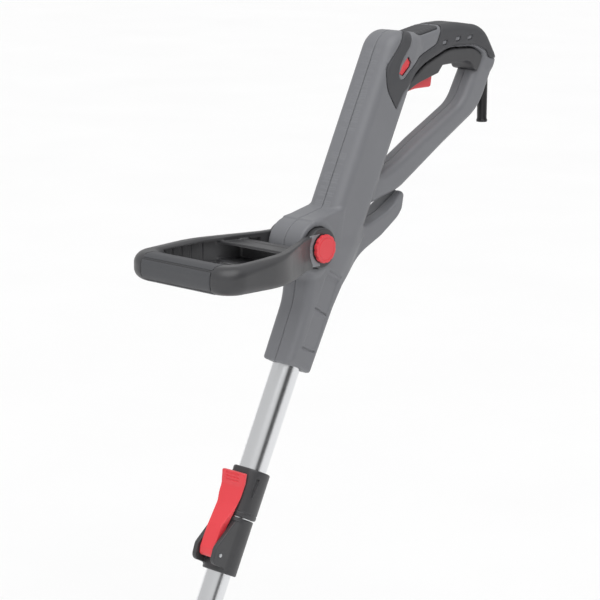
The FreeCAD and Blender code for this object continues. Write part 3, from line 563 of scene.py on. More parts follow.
def handle_outside(grid, inset=0.0):
    """The outer form of the handle: column, grip, strut and pivot boss flowing into each other."""
    column = slab(grid, COLUMN, 21.5, 11)
    grip = slab(grid, GRIP, 18, 8)
    strut = slab(grid, STRUT, 14, 8)
    boss = disc(grid, HUB_CENTRE, 26, -21.5, 21.5, 3)
    form = join(column, grip, 7)
    form = join(form, strut, 5)
    shoulder = join(boss, slab(grid, SHOULDER, 21.5, 3), 3)
    return join(form, shoulder, 2) + inset


def handle_solid(grid):
    """The housing's whole form, with the neck and the hook for the cord."""
    neck = slab(grid, NECK, 19.5, 8)
    tongue_plan = flat_distance(rounded(HOOK_PLAN), grid.x, grid.z)
    hook = meet(side_outline(grid, HOOK), tongue_plan, 2.5)
    return join(join(handle_outside(grid), neck, 9), hook, 6)


def window_outline(y, z):
    """Slanted window in the overmould, laid along the grip about its centre."""
    return [(y + 0.87 * along - 0.5 * across, z + 0.5 * along + 0.87 * across, 0.8)
            for along, across in ((-4.6, -2.1), (2.2, -2.1), (4.6, 2.1), (-2.2, 2.1))]


def overmould_mask(grid):
    """Side outline of the soft overmould: one strand before the island, one behind it, and three windows."""
    mask = cut(side_outline(grid, OVERMOULD), side_outline(grid, ISLAND))
    for y, z in WINDOWS:
        mask = cut(mask, side_outline(grid, window_outline(y, z)))
    return mask


def hub_room(grid):
    """Round recesses for the loop's hubs on both sides."""
    hub = np.sqrt((grid.y - HUB_CENTRE[0]) ** 2 + (grid.z - HUB_CENTRE[1]) ** 2)
    return np.maximum(hub - 20.5, 16.6 - np.abs(grid.x))


def neck_marks(grid):
    """Three shallow grooves and two recessed panels on each side of the neck."""
    marks = FAR
    for level, slope in ((101.1, -0.07), (60.7, -0.08), (20.9, 0.02)):
        line = np.abs(grid.z - level - slope * (grid.y - 3)) - 1.0
        marks = np.minimum(marks, np.maximum(line, np.abs(grid.y - 2) - 10.0))
    for low, high in ((25, 56.5), (65, 96.5)):
        panel = brick(grid, (-100, 100), (-7.5, 11.5), (low, high), 1.0)
        marks = np.minimum(marks, np.maximum(panel, 18.9 - np.abs(grid.x)))
    return np.maximum(marks, 18.0 - np.abs(grid.x))


def screw_wells(grid, side):
    """Deep round wells over the housing screws, in the right shell only."""
    wells = FAR
    if side < 0:
        for y, z, half in SCREWS:
            wells = np.minimum(wells, disc(grid, (y, z), 3.4, -40, 4.2 - half, 0))
    return wells


def housing_shell(grid, side):
    """One hollow shell of the housing, with its recesses and a softened parting edge."""
    outside = handle_solid(grid)
    pocket = np.maximum(-(handle_outside(grid) + SKIN), overmould_mask(grid) - 0.3)
    shell = cut(outside, pocket, 0.4)
    pad_room = np.maximum(side_outline(grid, PAD) - 0.3, np.abs(grid.x) - 15.3)
    shell = cut(shell, np.maximum(-(handle_outside(grid) + SKIN), pad_room), 0.4)
    room = np.maximum(handle_outside(grid, WALL), 96 - grid.z)
    sleeve = post(grid, 17, -10, 158)
    hub = disc(grid, HUB_CENTRE, 6, -40, 40)
    shell = cut(shell, cut(cut(room, sleeve), hub))
    shell = cut(shell, hub_room(grid), 0.5)
    shell = cut(shell, post(grid, 14.1, -20, 150.1))
    shell = cut(shell, disc(grid, HUB_CENTRE, 3.1, -40, 40))
    liner_room = slab(grid, LINER, 15.2, 1) - 0.2
    shell = cut(shell, liner_room, 0.3)
    slot = plate(grid, [(16, 296), (16, 322), (54, 364), (71, 354), (71, 330)], -10, 10)
    shell = cut(shell, slot)
    down = (0.0, math.sin(LEAN), -math.cos(LEAN))
    end = [CORD_EXIT[i] + 80 * down[i] for i in range(3)]
    start = [CORD_EXIT[i] - 4 * down[i] for i in range(3)]
    shell = cut(shell, rod(grid, start, end, 6.1), 0.4)
    button = plate(grid, LOCK_OFF, 11, 40) - 0.3
    shell = cut(shell, button, 0.4)
    marks = neck_marks(grid)
    shell = cut(shell, np.maximum(marks, -(outside + 1.5)), 0.2)
    shell = cut(shell, screw_wells(grid, side), 0.4)
    return meet(shell, 0.02 - side * grid.x, 0.1)


def overmould_skin(grid, side):
    """One half of the soft skin over the grip, standing slightly proud of the housing."""
    outside = handle_outside(grid)
    skin = meet(outside - 0.35, overmould_mask(grid) + 0.25, 0.9)
    skin = np.maximum(skin, -(outside + SKIN - 0.1))
    pad_room = np.maximum(side_outline(grid, PAD) - 0.5, np.abs(grid.x) - 15.5)
    skin = cut(cut(skin, pad_room, 0.4), screw_wells(grid, side), 0.4)
    skin = cut(skin, slab(grid, LINER, 15.2, 1) - 0.3)
    return meet(skin, 0.04 - side * grid.x, 0.25)


def thumb_pad(grid):
    """Ribbed pad on top of the grip, in front of the strands' bridge."""
    outside = handle_outside(grid)
    across = np.maximum(side_outline(grid, PAD), np.abs(grid.x) - 14.9)
    ribs = 0.25 * np.cos(grid.y * 2 * math.pi / 4.0)
    pad = meet(outside - 0.3 + ribs, across, 1.2)
    return np.maximum(pad, -(outside + SKIN - 0.1))


def liner(grid):
    """Black liner under the grip, with the trigger's slot and a round hole for the trigger's trunnions."""
    body = slab(grid, LINER, 15, 1.2)
    slot = plate(grid, [(20, 290), (20, 322), (56, 362), (69.5, 352), (69.5, 330)], -8.9, 8.9)
    return cut(cut(body, slot, 0.3), disc(grid, (27, 312), 1.6, -11.2, 11.2))


def trigger(grid):
    """Trigger with a rolled finger face, on two trunnions."""
    body = slab(grid, TRIGGER, 8.5, 1.8)
    return np.minimum(body, disc(grid, (27, 312), 1.5, -11, 11, 0.2))


def lock_off_button(grid):
    """Lock-off button with a softened rim and a shallow dished face."""
    body = plate(grid, LOCK_OFF, 13.0, 20.4, 0.9)
    dish = np.sqrt((grid.x - 44) ** 2 + (grid.y - 6.5) ** 2 + (grid.z - 323) ** 2) - 24.2
    return cut(body, dish, 0.3)


# ---------------------------------------------------------------- loop handle

LOOP_PLAN = [(-28.5, 19), (-28.5, -20, 60), (-66, -92, 90), (-71, -174, 24), (71, -174, 24),
             (66, -92, 90), (28.5, -20, 60), (28.5, 19)]
LOOP_INSIDE = [(-22, 19), (-22, -20, 40), (-50, -84, 60), (-50, -151, 12), (50, -151, 12),
               (50, -84, 60), (22, -20, 40), (22, 19)]
LOOP_SIDE = [(-190, -16), (-190, 10), (-60, 12.5, 60), (-14, 14), (-14, -19), (-60, -19, 60)]
SLEEVE_HALF = 46.0


def loop_band(grid):
    """The loop as a solid band, more rounded towards its front bar."""
    outer = plan_outline(grid, LOOP_PLAN)
    inner = plan_outline(grid, LOOP_INSIDE)
    side = side_outline(grid, LOOP_SIDE)
    edge = np.clip((-40 - grid.y) / 11, 1.5, 11).astype(np.float32)
    return meet(meet(outer, side, edge), -inner, np.minimum(edge, 7.0))


def loop_handle(grid):
    """Loop with two channelled and ribbed arms, a cross bar and two round hubs."""
    band = loop_band(grid)
    channel = np.maximum(plan_outline(grid, LOOP_PLAN) + 3.2, np.abs(grid.z + 3) - 11)
    channel = np.maximum(channel, np.maximum(-138 - grid.y, grid.y + 30))
    ribs = FAR
    for place in (-82, -93, -104, -115, -126):
        ribs = np.minimum(ribs, np.abs(grid.y - place) - 1.2)
    loop = cut(band, cut(channel, np.maximum(ribs, 9.0 - (plan_outline(grid, LOOP_PLAN) + 13))), 0.6)
    shelf = brick(grid, (-56, 56), (-68, -42), (-14, 8), 1.2)
    shelf = cut(shelf, brick(grid, (-53, 53), (-90, -45), (-11, 5)), 0.6)
    shelf = cut(shelf, brick(grid, (-46, 46), (-66, -50), (7.2, 12)), 0.3)
    inside = np.maximum(shelf, plan_outline(grid, LOOP_PLAN) + 1.0)
    loop = join(loop, inside, 1.5)
    for side in (-1, 1):
        low, high = sorted((side * 17.2, side * 28.5))
        loop = join(loop, disc(grid, (0, 0), 20, low, high, 1.2), 0.3)
        loop = cut(loop, disc(grid, (0, 0), 20, *sorted((side * 28.5, side * 60))), 0.3)
    core = brick(grid, (-SLEEVE_HALF, SLEEVE_HALF), (-220, -140), (-60, 60))
    skin = brick(grid, (-60, 60), (-171.5, -153.5), (-13.5, 7.5))
    loop = cut(loop, cut(core, skin), 0.5)
    return cut(loop, disc(grid, (0, 0), 3.1, -60, 60))


def grip_sleeve(grid):
    """Soft sleeve on the front bar, with rounded ends."""
    sleeve = loop_band(grid) - 0.25
    core = brick(grid, (-60, 60), (-171.4, -153.6), (-13.4, 7.4))
    sleeve = meet(sleeve, np.abs(grid.x) - SLEEVE_HALF + 0.3, 1.2)
    sleeve = np.maximum(sleeve, grid.y + 141)
    return cut(sleeve, core)


def hub_label(grid):
    """Thin label plate on the hub's face in front of the knob, with a column of raised dashes."""
    radius = np.sqrt(grid.y ** 2 + grid.z ** 2)
    form = brick(grid, (28.5, 29.0), (-19.0, -4.0), (-17.0, 15.0), 0.2)
    form = cut(form, radius + 0 * grid.x - 14.9, 0.2)
    for place in (-10, -5, 0, 5, 10):
        dash = brick(grid, (28.6, 29.3), (-18.0, -15.6), (place - 0.6, place + 0.6))
        form = np.minimum(form, dash)
    return form


def knob(grid):
    """Round knob with twelve finger scallops, a fine ring groove on its face and a round socket in its back."""
    angle = np.arctan2(grid.z, grid.y)
    turn = math.radians(30)
    folded = angle - turn * np.round(angle / turn)
    radius = np.sqrt(grid.y ** 2 + grid.z ** 2)
    scallop = np.sqrt((radius * np.cos(folded) - 15.8) ** 2 + (radius * np.sin(folded)) ** 2) - 2.4
    body = disc(grid, (0, 0), 14.2, 29.6, 33.6, 0.9)
    body = cut(body, scallop, 0.5)
    ring = np.abs(radius - 10.8) - 0.35
    body = cut(body, np.maximum(ring, 33.25 - grid.x), 0.1)
    return cut(body, disc(grid, (0, 0), 5.0, 28, 32.2))


# ---------------------------------------------------------------- clamp

LEVER_SIDE = [(-26.2, -201.9, 4.1), (-28.5, -194, 4), (-28, -171, 10), (-20.5, -147, 14), (-21, -130, 14),
              (-26.5, -116, 1), (-21.5, -114.5, 1), (-19.0, -124, 14), (-19.2, -156, 20), (-18.8, -190, 10),
              (-17.8, -201.9, 4.1)]
LEVER_PLAN = [(-15, -113), (-15, -138, 20), (-12.5, -152, 20), (-9.2, -170, 20), (-9.2, -206),
              (9.2, -206), (9.2, -170, 20), (12.5, -152, 20), (15, -138, 20), (15, -113)]
LUG = [(-17, -208, 3), (-29, -208, 7), (-31, -192, 7), (-16, -161, 3), (0, -161), (0, -210)]
CLAMP_PIN = (-22.0, -197.5)


def clamp_collar(grid):
    """Collar on the outer tube, with a flat face under the lever and a long groove on its left side."""
    collar = post(grid, 18.6, -156, -108, 1.8)
    collar = meet(collar, -15.6 - grid.y, 1.2)
    groove = side_outline(grid, [(-9, -116, 1), (-4.5, -116, 1), (-7.5, -150, 1)])
    collar = cut(collar, np.maximum(groove, 15.8 - grid.x), 0.4)
    edge = np.maximum(np.abs(grid.z + 151) - 0.5, 18.1 - np.sqrt(grid.x ** 2 + grid.y ** 2))
    return cut(cut(collar, edge, 0.1), post(grid, 14.1, -300, 0))


def clamp_body(grid):
    """Clamp body with two lugs round the lever's pin."""
    sleeve = post(grid, 17.2, -213, -157, 1.2)
    lugs = meet(side_outline(grid, LUG), np.abs(np.abs(grid.x) - 12.4) - 2.6, 1.0)
    body = join(sleeve, lugs, 1.5)
    gap = np.maximum(np.abs(grid.x) - 9.8, grid.y + 17.2)
    body = cut(body, gap, 0.4)
    pin = np.sqrt((grid.y - CLAMP_PIN[0]) ** 2 + (grid.z - CLAMP_PIN[1]) ** 2) - 2.1
    slit = np.maximum(np.abs(grid.x) - 0.6, 12 - grid.y)
    slit = np.maximum(slit, -165 - grid.z)
    return cut(cut(cut(body, pin + 0 * grid.x), slit), post(grid, 14.1, -300, 0))


def clamp_lever(grid):
    """Flip lever: a wide curled thumb end with ridges, and a narrow tongue between the lugs."""
    plan = flat_distance(rounded(LEVER_PLAN), grid.x, grid.z)
    lever = meet(side_outline(grid, LEVER_SIDE), plan, 1.3)
    ridges = np.abs((grid.z + 121) / 3.0 - np.round((grid.z + 121) / 3.0)) * 3.0 - 0.55
    ridges = np.maximum(ridges, np.maximum(np.abs(grid.z + 121) - 5.0, np.abs(grid.x) - 9))
    front = side_outline(grid, LEVER_SIDE) + 0.7
    lever = cut(lever, np.maximum(ridges, -front), 0.2)
    pin = np.sqrt((grid.y - CLAMP_PIN[0]) ** 2 + (grid.z - CLAMP_PIN[1]) ** 2) - 2.1
    return cut(lever, pin + 0 * grid.x)


# ---------------------------------------------------------------- cutting head, upright frame at the tilt pin

MOTOR = (0.0, -52.0)
MOTOR_R = 41.0
GUARD_R = 138.0
GUARD_SCREWS = [(-26, -14), (26, -14), (-24, 20), (24, 20)]


def motor_cover(grid):
    """Domed motor cover with a knuckle for the tilt pin and a fan of cooling slots in front."""
    outer = turned(grid, [(0, -40), (MOTOR_R, -40, 1), (MOTOR_R, 12, 14), (MOTOR_R - 4, 24, 12),
                          (MOTOR_R - 14, 32, 14), (0, 34)], MOTOR)
    inner = turned(grid, [(0, -60), (MOTOR_R - 3, -60), (MOTOR_R - 3, 11, 12), (MOTOR_R - 6.5, 21.5, 10),
                          (MOTOR_R - 15, 29, 10), (0, 31)], MOTOR)
    knuckle = disc(grid, (0, 0), 14.5, -16, 16, 1)
    web = plate(grid, [(-20, -22), (-2, -14.4), (2, 14.2), (-14, 22, 6)], -16, 16, 1)
    cover = cut(join(join(outer, web, 6), knuckle, 1), inner)
    angle = np.arctan2(grid.x - MOTOR[0], MOTOR[1] - grid.y)
    pitch = math.radians(12)
    folded = (angle - pitch * np.round(angle / pitch)) * MOTOR_R
    slots = meet(np.abs(folded) - 1.7, np.abs(grid.z + 10) - 16, 1.6)
    slots = np.maximum(slots, np.abs(angle) - math.radians(54))
    slots = np.maximum(slots, MOTOR_R - 8 - np.sqrt((grid.x - MOTOR[0]) ** 2 + (grid.y - MOTOR[1]) ** 2))
    return cut(cut(cover, slots, 0.5), disc(grid, (0, 0), 4.1, -30, 30))


def motor_base(grid):
    """Lower motor housing with the bearing's seat and posts for the guard's screws."""
    wall = MOTOR_R - 3
    outer = turned(grid, [(0, -82), (wall, -82, 4), (MOTOR_R + 1.5, -74, 8), (MOTOR_R + 1.5, -40, 1.5),
                          (0, -40)], MOTOR)
    inner = turned(grid, [(0, -77), (wall - 3, -77), (wall, -72, 4), (wall, -20), (0, -20)], MOTOR)
    base = cut(outer, inner)
    base = join(base, cut(post(grid, 14, -82, -69, 0.5, MOTOR), post(grid, 11.05, -78, -60, 0, MOTOR)), 1)
    for x, y in GUARD_SCREWS:
        centre = (MOTOR[0] + x, MOTOR[1] + y)
        base = join(base, post(grid, 4.2, -82, -66, 0.5, centre), 0.5)
        base = cut(base, post(grid, 2.1, -84, -70, 0, centre))
    step = np.abs(grid.z + 60) - 0.6
    step = np.maximum(step, MOTOR_R + 0.9 - np.sqrt((grid.x - MOTOR[0]) ** 2 + (grid.y - MOTOR[1]) ** 2))
    base = cut(cut(base, step, 0.2), post(grid, 8, -90, -60, 0, MOTOR))
    pivot = np.sqrt((grid.y - MOTOR[1]) ** 2 + (grid.z + 62) ** 2) - 1.9
    return cut(base, np.maximum(pivot, MOTOR_R - 1.7 - np.abs(grid.x)))


def guard(grid):
    """Guard behind the line: a sloping half disc with a hanging skirt and a small seat inside the skirt."""
    disc_form = turned(grid, [(0, -85), (0, -82), (60, -82, 30), (GUARD_R, -96, 5), (GUARD_R, -132, 1),
                              (GUARD_R - 3, -132, 1), (GUARD_R - 3, -98.5, 3), (60, -85, 30)], MOTOR)
    behind = plan_outline(grid, [(-200, -32), (-46, -58, 30), (-40, -98, 30), (40, -98, 30), (46, -58, 30),
                                 (200, -32), (200, 200), (-200, 200)])
    plate_form = meet(disc_form, behind + 0 * grid.z, 0.8)
    seat = brick(grid, (132, 136), (MOTOR[1] + 8, MOTOR[1] + 22), (-128, -112), 0.6)
    plate_form = join(plate_form, seat, 1.0)
    plate_form = cut(plate_form, post(grid, 15, -200, 0, 0, MOTOR), 0.5)
    for x, y in GUARD_SCREWS:
        plate_form = cut(plate_form, post(grid, 2.2, -200, 0, 0, (MOTOR[0] + x, MOTOR[1] + y)))
    return plate_form


def screw(grid, length, shank, head):
    """Pan head screw with a cross recess, pointing up from its head."""
    radius = np.sqrt(grid.x ** 2 + grid.y ** 2)
    body = join(post(grid, head, 0, 2.2, 1.0), post(grid, shank, 1, length, 0.5), 0.2)
    thread = 0.18 * np.cos((grid.z - np.arctan2(grid.y, grid.x) / (2 * math.pi) * 1.2) * 2 * math.pi / 1.2)
    body = np.where((grid.z > 4) & (radius < head), body + thread, body)
    cross = np.minimum(np.maximum(np.abs(grid.x) - 0.45, np.abs(grid.y) - 1.9),
                       np.maximum(np.abs(grid.y) - 0.45, np.abs(grid.x) - 1.9))
    return cut(body, np.maximum(cross, grid.z - 1.3))


# ---------------------------------------------------------------- turned pieces and repeats


def lathe(name, profile, matrix, segments=96):
    """Ring-shaped solid from a closed (radius, height) profile turned about Z."""
    points = []
    for k in range(segments):
        angle = 2 * math.pi * k / segments
        for radius, height in profile:
            points.append((radius * math.cos(angle), radius * math.sin(angle), height))
    count = len(profile)
    faces = []
    for k in range(segments):
        first, last = k * count, (k + 1) % segments * count
        for j in range(count):
            i = (j + 1) % count
            faces.append((first + j, last + j, last + i, first + i))
    piece = mesh_object(name, np.array(points), np.array(faces), matrix)
    work = bmesh.new()
    work.from_mesh(piece.data)
    bmesh.ops.recalc_face_normals(work, faces=work.faces)
    work.to_mesh(piece.data)
    work.free()
    shade(piece, 32)
    return piece


def tube_profile(inner, outer, low, high, chamfer=0.25):
    """Profile of a tube with its four rims chamfered."""
    c = chamfer
    return [(inner + c, low), (outer - c, low), (outer, low + c), (outer, high - c),
            (outer - c, high), (inner + c, high), (inner, high - c), (inner, low + c)]


def new_tree(name, sockets):
    """Geometry Nodes tree with named inputs, and its input and output nodes."""
    tree = bpy.data.node_groups.new(name, "GeometryNodeTree")
    for label, kind in sockets:
        tree.interface.new_socket(label, in_out="INPUT", socket_type=kind)
    tree.interface.new_socket("Geometry", in_out="OUTPUT", socket_type="NodeSocketGeometry")
    return tree, add_node(tree, "NodeGroupInput"), add_node(tree, "NodeGroupOutput")


def close_tree(tree, start, end, geometry):
    """Ends a tree in Realize Instances and Set Material."""
    real = add_node(tree, "GeometryNodeRealizeInstances", {"Geometry": geometry})
    painted = add_node(tree, "GeometryNodeSetMaterial", {
        "Geometry": real.outputs[0], "Material": start.outputs["Material"]})
    tree.links.new(painted.outputs[0], end.inputs["Geometry"])


def coil_tree():
    """Round wire wound into a helix."""
    tree, start, end = new_tree("coil", [("Turns", "NodeSocketFloat"), ("Radius", "NodeSocketFloat"),
                                         ("Height", "NodeSocketFloat"), ("Wire", "NodeSocketFloat"),
                                         ("Material", "NodeSocketMaterial")])
    spiral = add_node(tree, "GeometryNodeCurveSpiral", {
        "Resolution": 28, "Rotations": start.outputs["Turns"], "Start Radius": start.outputs["Radius"],
        "End Radius": start.outputs["Radius"], "Height": start.outputs["Height"]})
    section = add_node(tree, "GeometryNodeCurvePrimitiveCircle", {
        "Resolution": 10, "Radius": start.outputs["Wire"]})
    wire = add_node(tree, "GeometryNodeCurveToMesh", {
        "Curve": spiral.outputs[0], "Profile Curve": section.outputs[0], "Fill Caps": True})
    close_tree(tree, start, end, wire.outputs[0])
    return tree


def ring_tree():
    """Equal pieces set round a circle, each turned to its own place."""
    tree, start, end = new_tree("ring", [("Count", "NodeSocketInt"), ("Radius", "NodeSocketFloat"),
                                         ("Piece", "NodeSocketObject"), ("Material", "NodeSocketMaterial")])
    circle = add_node(tree, "GeometryNodeMeshCircle", {
        "Vertices": start.outputs["Count"], "Radius": start.outputs["Radius"]})
    piece = add_node(tree, "GeometryNodeObjectInfo", {"Object": start.outputs["Piece"]})
    index = add_node(tree, "GeometryNodeInputIndex")
    share = add_node(tree, "ShaderNodeMath", {0: index.outputs[0], 1: start.outputs["Count"]},
                     operation="DIVIDE")
    angle = add_node(tree, "ShaderNodeMath", {0: share.outputs[0], 1: 2 * math.pi}, operation="MULTIPLY")
    turn = add_node(tree, "ShaderNodeCombineXYZ", {"Z": angle.outputs[0]})
    copies = add_node(tree, "GeometryNodeInstanceOnPoints", {
        "Points": circle.outputs[0], "Instance": piece.outputs["Geometry"], "Rotation": turn.outputs[0]})
    close_tree(tree, start, end, copies.outputs[0])
    return tree


def scatter_tree():
    """One piece copied to each vertex of the mesh that carries the tree."""
    tree, start, end = new_tree("copies", [("Places", "NodeSocketGeometry"), ("Piece", "NodeSocketObject"),
                                           ("Material", "NodeSocketMaterial")])
    piece = add_node(tree, "GeometryNodeObjectInfo", {"Object": start.outputs["Piece"]})
    copies = add_node(tree, "GeometryNodeInstanceOnPoints", {
        "Points": start.outputs["Places"], "Instance": piece.outputs["Geometry"]})
    close_tree(tree, start, end, copies.outputs[0])
    return tree


def grown(name, tree, values, matrix, points=()):
    """Evaluates a Geometry Nodes tree in millimetres and returns its result as a plain mesh piece."""
    mesh = bpy.data.meshes.new(name + "_seed")
    mesh.from_pydata([tuple(p) for p in points], [], [])
    seed = bpy.data.objects.new(name + "_seed", mesh)
    bpy.context.scene.collection.objects.link(seed)
    modifier = seed.modifiers.new(name, "NODES")
    modifier.node_group = tree
    for item in tree.interface.items_tree:
        if item.in_out == "INPUT" and item.name in values:
            modifier[item.identifier] = values[item.name]
    bpy.context.view_layer.update()
    result = bpy.data.meshes.new_from_object(seed.evaluated_get(bpy.context.evaluated_depsgraph_get()))
    bpy.data.objects.remove(seed)
    result.name = name
    result.transform(matrix)
    piece = bpy.data.objects.new(name, result)
    bpy.context.scene.collection.objects.link(piece)
    shade(piece, 40)
    return piece


def joined(name, pieces):
    """One piece from several, with no material yet."""
    for piece in pieces:
        piece.data.materials.clear()
    with bpy.context.temp_override(active_object=pieces[0], selected_editable_objects=pieces):
        bpy.ops.object.join()
    pieces[0].name = name
    return pieces[0]


def hidden_item(name, values, grid):
    """Item for a Geometry Nodes tree to copy, in millimetres about the origin; removed once it is used."""
    points, quads = surface_points(values, grid)
    return mesh_object(name, points, quads, Matrix.Identity(4))


# ---------------------------------------------------------------- sizes that a user would change


def length(name, description, default, low, high):
    """Length property, kept in metres, from values in millimetres."""
    return FloatProperty(name=name, description=description, default=default * MM, min=low * MM,
                         max=high * MM, unit="LENGTH", precision=5)


def tint(name, description, code):
    """Colour property with an sRGB hex default."""
    return FloatVectorProperty(name=name, description=description, default=colour(code), size=4,
                               min=0.0, max=1.0, subtype="COLOR")


class TrimmerSizes(bpy.types.PropertyGroup):
    """Sizes and colours of the model that can be changed before it is built."""

    cell: length("Housing cell", "Step of the grid that the housing is sampled on", 1.0, 0.6, 3.0)
    fine_cell: length("Fine cell", "Step of the grid for small moulded pieces", 0.45, 0.3, 2.0)
    grain: length("Grain", "Size of the moulded texture's grain", 0.5, 0.1, 2.0)
    line_radius: length("Line radius", "Radius of the cutting line", 0.8, 0.5, 1.5)
    lead_turns: IntProperty(name="Lead turns", description="Turns of the coiled lead inside the tubes",
                            default=70, min=10, max=120)
    housing_colour: tint("Housing", "Colour of the housing shells", "76777b")
    grip_colour: tint("Grip", "Colour of the soft overmould", "434447")
    accent_colour: tint("Accent", "Colour of the trigger, buttons, knob and lever", "e33a42")


def sizes():
    """The sizes of this scene's model."""
    return bpy.context.scene.trimmer_sizes


def in_mm(metres):
    """A length property in millimetres, to the nearest hundredth."""
    return round(metres / MM, 2)


class TrimmerOperator:
    """What the building operators share."""

    bl_options = {"REGISTER", "UNDO"}


class TRIMMER_OT_materials(TrimmerOperator, bpy.types.Operator):
    """Makes every material and every Geometry Nodes tree."""

    bl_idname = "trimmer.materials"
    bl_label = "Materials"

    def execute(self, context):
        MATERIALS.update(make_materials(sizes()))
        TREES.update(coil=coil_tree(), ring=ring_tree(), copies=scatter_tree())
        return {"FINISHED"}


class TRIMMER_OT_housing(TrimmerOperator, bpy.types.Operator):
    """Builds the two hollow shells of the handle's housing."""

    bl_idname = "trimmer.housing"
    bl_label = "Housing shells"

    def execute(self, context):
        for side, node, low, high in ((1, "housing_left", -2, 24), (-1, "housing_right", -24, 2)):
            cast(node, "housing", partial(housing_shell, side=side), (low, -66, -4), (high, 156, 417),
                 in_mm(sizes().cell), shaft_matrix(), "housing_abs")
        return {"FINISHED"}


class TRIMMER_OT_overmould(TrimmerOperator, bpy.types.Operator):
    """Builds the soft skins over the grip and the thumb pad."""

    bl_idname = "trimmer.overmould"
    bl_label = "Overmould"

    def execute(self, context):
        place = shaft_matrix()
        for side, node, low, high in ((1, "grip_overmould_left", -1, 24), (-1, "grip_overmould_right", -24, 1)):
            cast(node, "housing", partial(overmould_skin, side=side), (low, -28, 276), (high, 158, 416), 0.75,
                 place, "overmould")
        cast("thumb_pad", "housing", thumb_pad, (-17, 10, 344), (17, 46, 400), 0.6, place, "overmould")
        return {"FINISHED"}


class TRIMMER_OT_controls(TrimmerOperator, bpy.types.Operator):
    """Builds the liner, the trigger and the lock-off button."""

    bl_idname = "trimmer.controls"
    bl_label = "Liner and controls"

    def execute(self, context):
        place, step = shaft_matrix(), in_mm(sizes().fine_cell)
        cast("grip_liner", "housing", liner, (-17, 16, 295), (17, 126, 391), 0.6, place, "nylon")
        cast("trigger", "trigger", trigger, (-12, 22, 302), (12, 71, 345), step, place, "red")
        cast("lock_off_button", "lock_off", lock_off_button, (12, -1, 312), (21.5, 14, 336), step, place, "red",
             "lock_off")
        return {"FINISHED"}


class TRIMMER_OT_boot(TrimmerOperator, bpy.types.Operator):
    """Builds the tapered rubber boot that the supply cord would leave through."""

    bl_idname = "trimmer.boot"
    bl_label = "Cord boot"

    def execute(self, context):
        profile = [(3.7, -60), (3.7, 0), (6.5, 0), (6.5, -4.8), (5.6, -5.4), (5.2, -56), (5.5, -57.4),
                   (5.9, -58), (5.9, -59.6), (5.6, -60)]
        piece = lathe("cord_boot_form", profile, upright_matrix(CORD_EXIT))
        finished(piece, "housing", "cord_boot", "boot")
        return {"FINISHED"}


class TRIMMER_OT_loop(TrimmerOperator, bpy.types.Operator):
    """Builds the loop handle, its soft sleeve, its label plate and its knob."""

    bl_idname = "trimmer.loop"
    bl_label = "Loop handle"

    def execute(self, context):
        place = upright_matrix(PIVOT)
        loop = "aux_handle"
        cast(loop, loop, loop_handle, (-73, -177, -21), (73, 22, 21), 0.9, place, "arm")
        cast("aux_grip_sleeve", loop, grip_sleeve, (-48, -177, -19), (48, -140, 13), 0.7, place, "sleeve")
        cast("aux_knob", "aux_knob", knob, (28, -16, -16), (35, 16, 16), 0.3, place, "red")
        cast("hub_plate", loop, hub_label, (28, -20, -20), (30, 1, 20), 0.25, place, "label")
        refined("knob_insert", "aux_knob", "brass", 0.15)
        refined("aux_bolt", "housing", "steel", 0.4)
        return {"FINISHED"}


class TRIMMER_OT_tubes(TrimmerOperator, bpy.types.Operator):
    """Builds the two aluminium tubes, the guide bush and the fork at the foot of the shaft."""

    bl_idname = "trimmer.tubes"
    bl_label = "Tubes"

    def execute(self, context):
        for node, body, radius, low, high in (("upper_tube", "housing", 14.0, -200, 150),
                                              ("lower_tube", "lower_shaft", 12.5, -540, -70)):
            piece = lathe(node + "_form", tube_profile(radius - 1, radius, low, high), shaft_matrix())
            finished(piece, body, node, "tube")
        refined("tube_guide_bush", "lower_shaft", "nylon", 0.2)
        refined("tube_fork", "lower_shaft", "nylon", 0.6)
        refined("tilt_pin", "lower_shaft", "steel", 0.3)
        refined("tilt_button", "tilt_button", "red", 0.0)
        return {"FINISHED"}


class TRIMMER_OT_clamp(TrimmerOperator, bpy.types.Operator):
    """Builds the collar, the clamp body, the flip lever, its pin and the clamp's jaw."""

    bl_idname = "trimmer.clamp"
    bl_label = "Clamp"

    def execute(self, context):
        place, step = shaft_matrix(), in_mm(sizes().fine_cell)
        cast("clamp_collar", "housing", clamp_collar, (-20, -20, -158), (20, 20, -106), step, place, "nylon")
        cast("clamp_body", "housing", clamp_body, (-19, -33, -215), (19, 19, -155), step, place, "nylon")
        cast("clamp_lever", "clamp_lever", clamp_lever, (-17, -31, -208), (17, -15, -111), step, place, "red")
        refined("clamp_pin", "housing", "steel", 0.3)
        refined("clamp_jaw", "housing", "nylon", 0.2)
        return {"FINISHED"}


class TRIMMER_OT_motor_head(TrimmerOperator, bpy.types.Operator):
    """Builds the motor's covers, the guard and the wire hoop in front of the line."""

    bl_idname = "trimmer.motor_head"
    bl_label = "Motor head"

    def execute(self, context):
        place = upright_matrix(TILT_PIN)
        cast("motor_cover", "head", motor_cover, (-44, -96, -42), (44, 18, 37), 0.8, place, "housing_abs")
        cast("motor_base", "head", motor_base, (-45, -97, -84), (45, -7, -38), 0.8, place, "nylon")
        cast("guard", "head", guard, (-141, -100, -134), (141, 89, -80), 1.2, place, "nylon")
        refined("line_cutter", "head", "steel", 0.2)
        refined("plant_guard_wire", "plant_guard", "steel", 0.0)
        return {"FINISHED"}


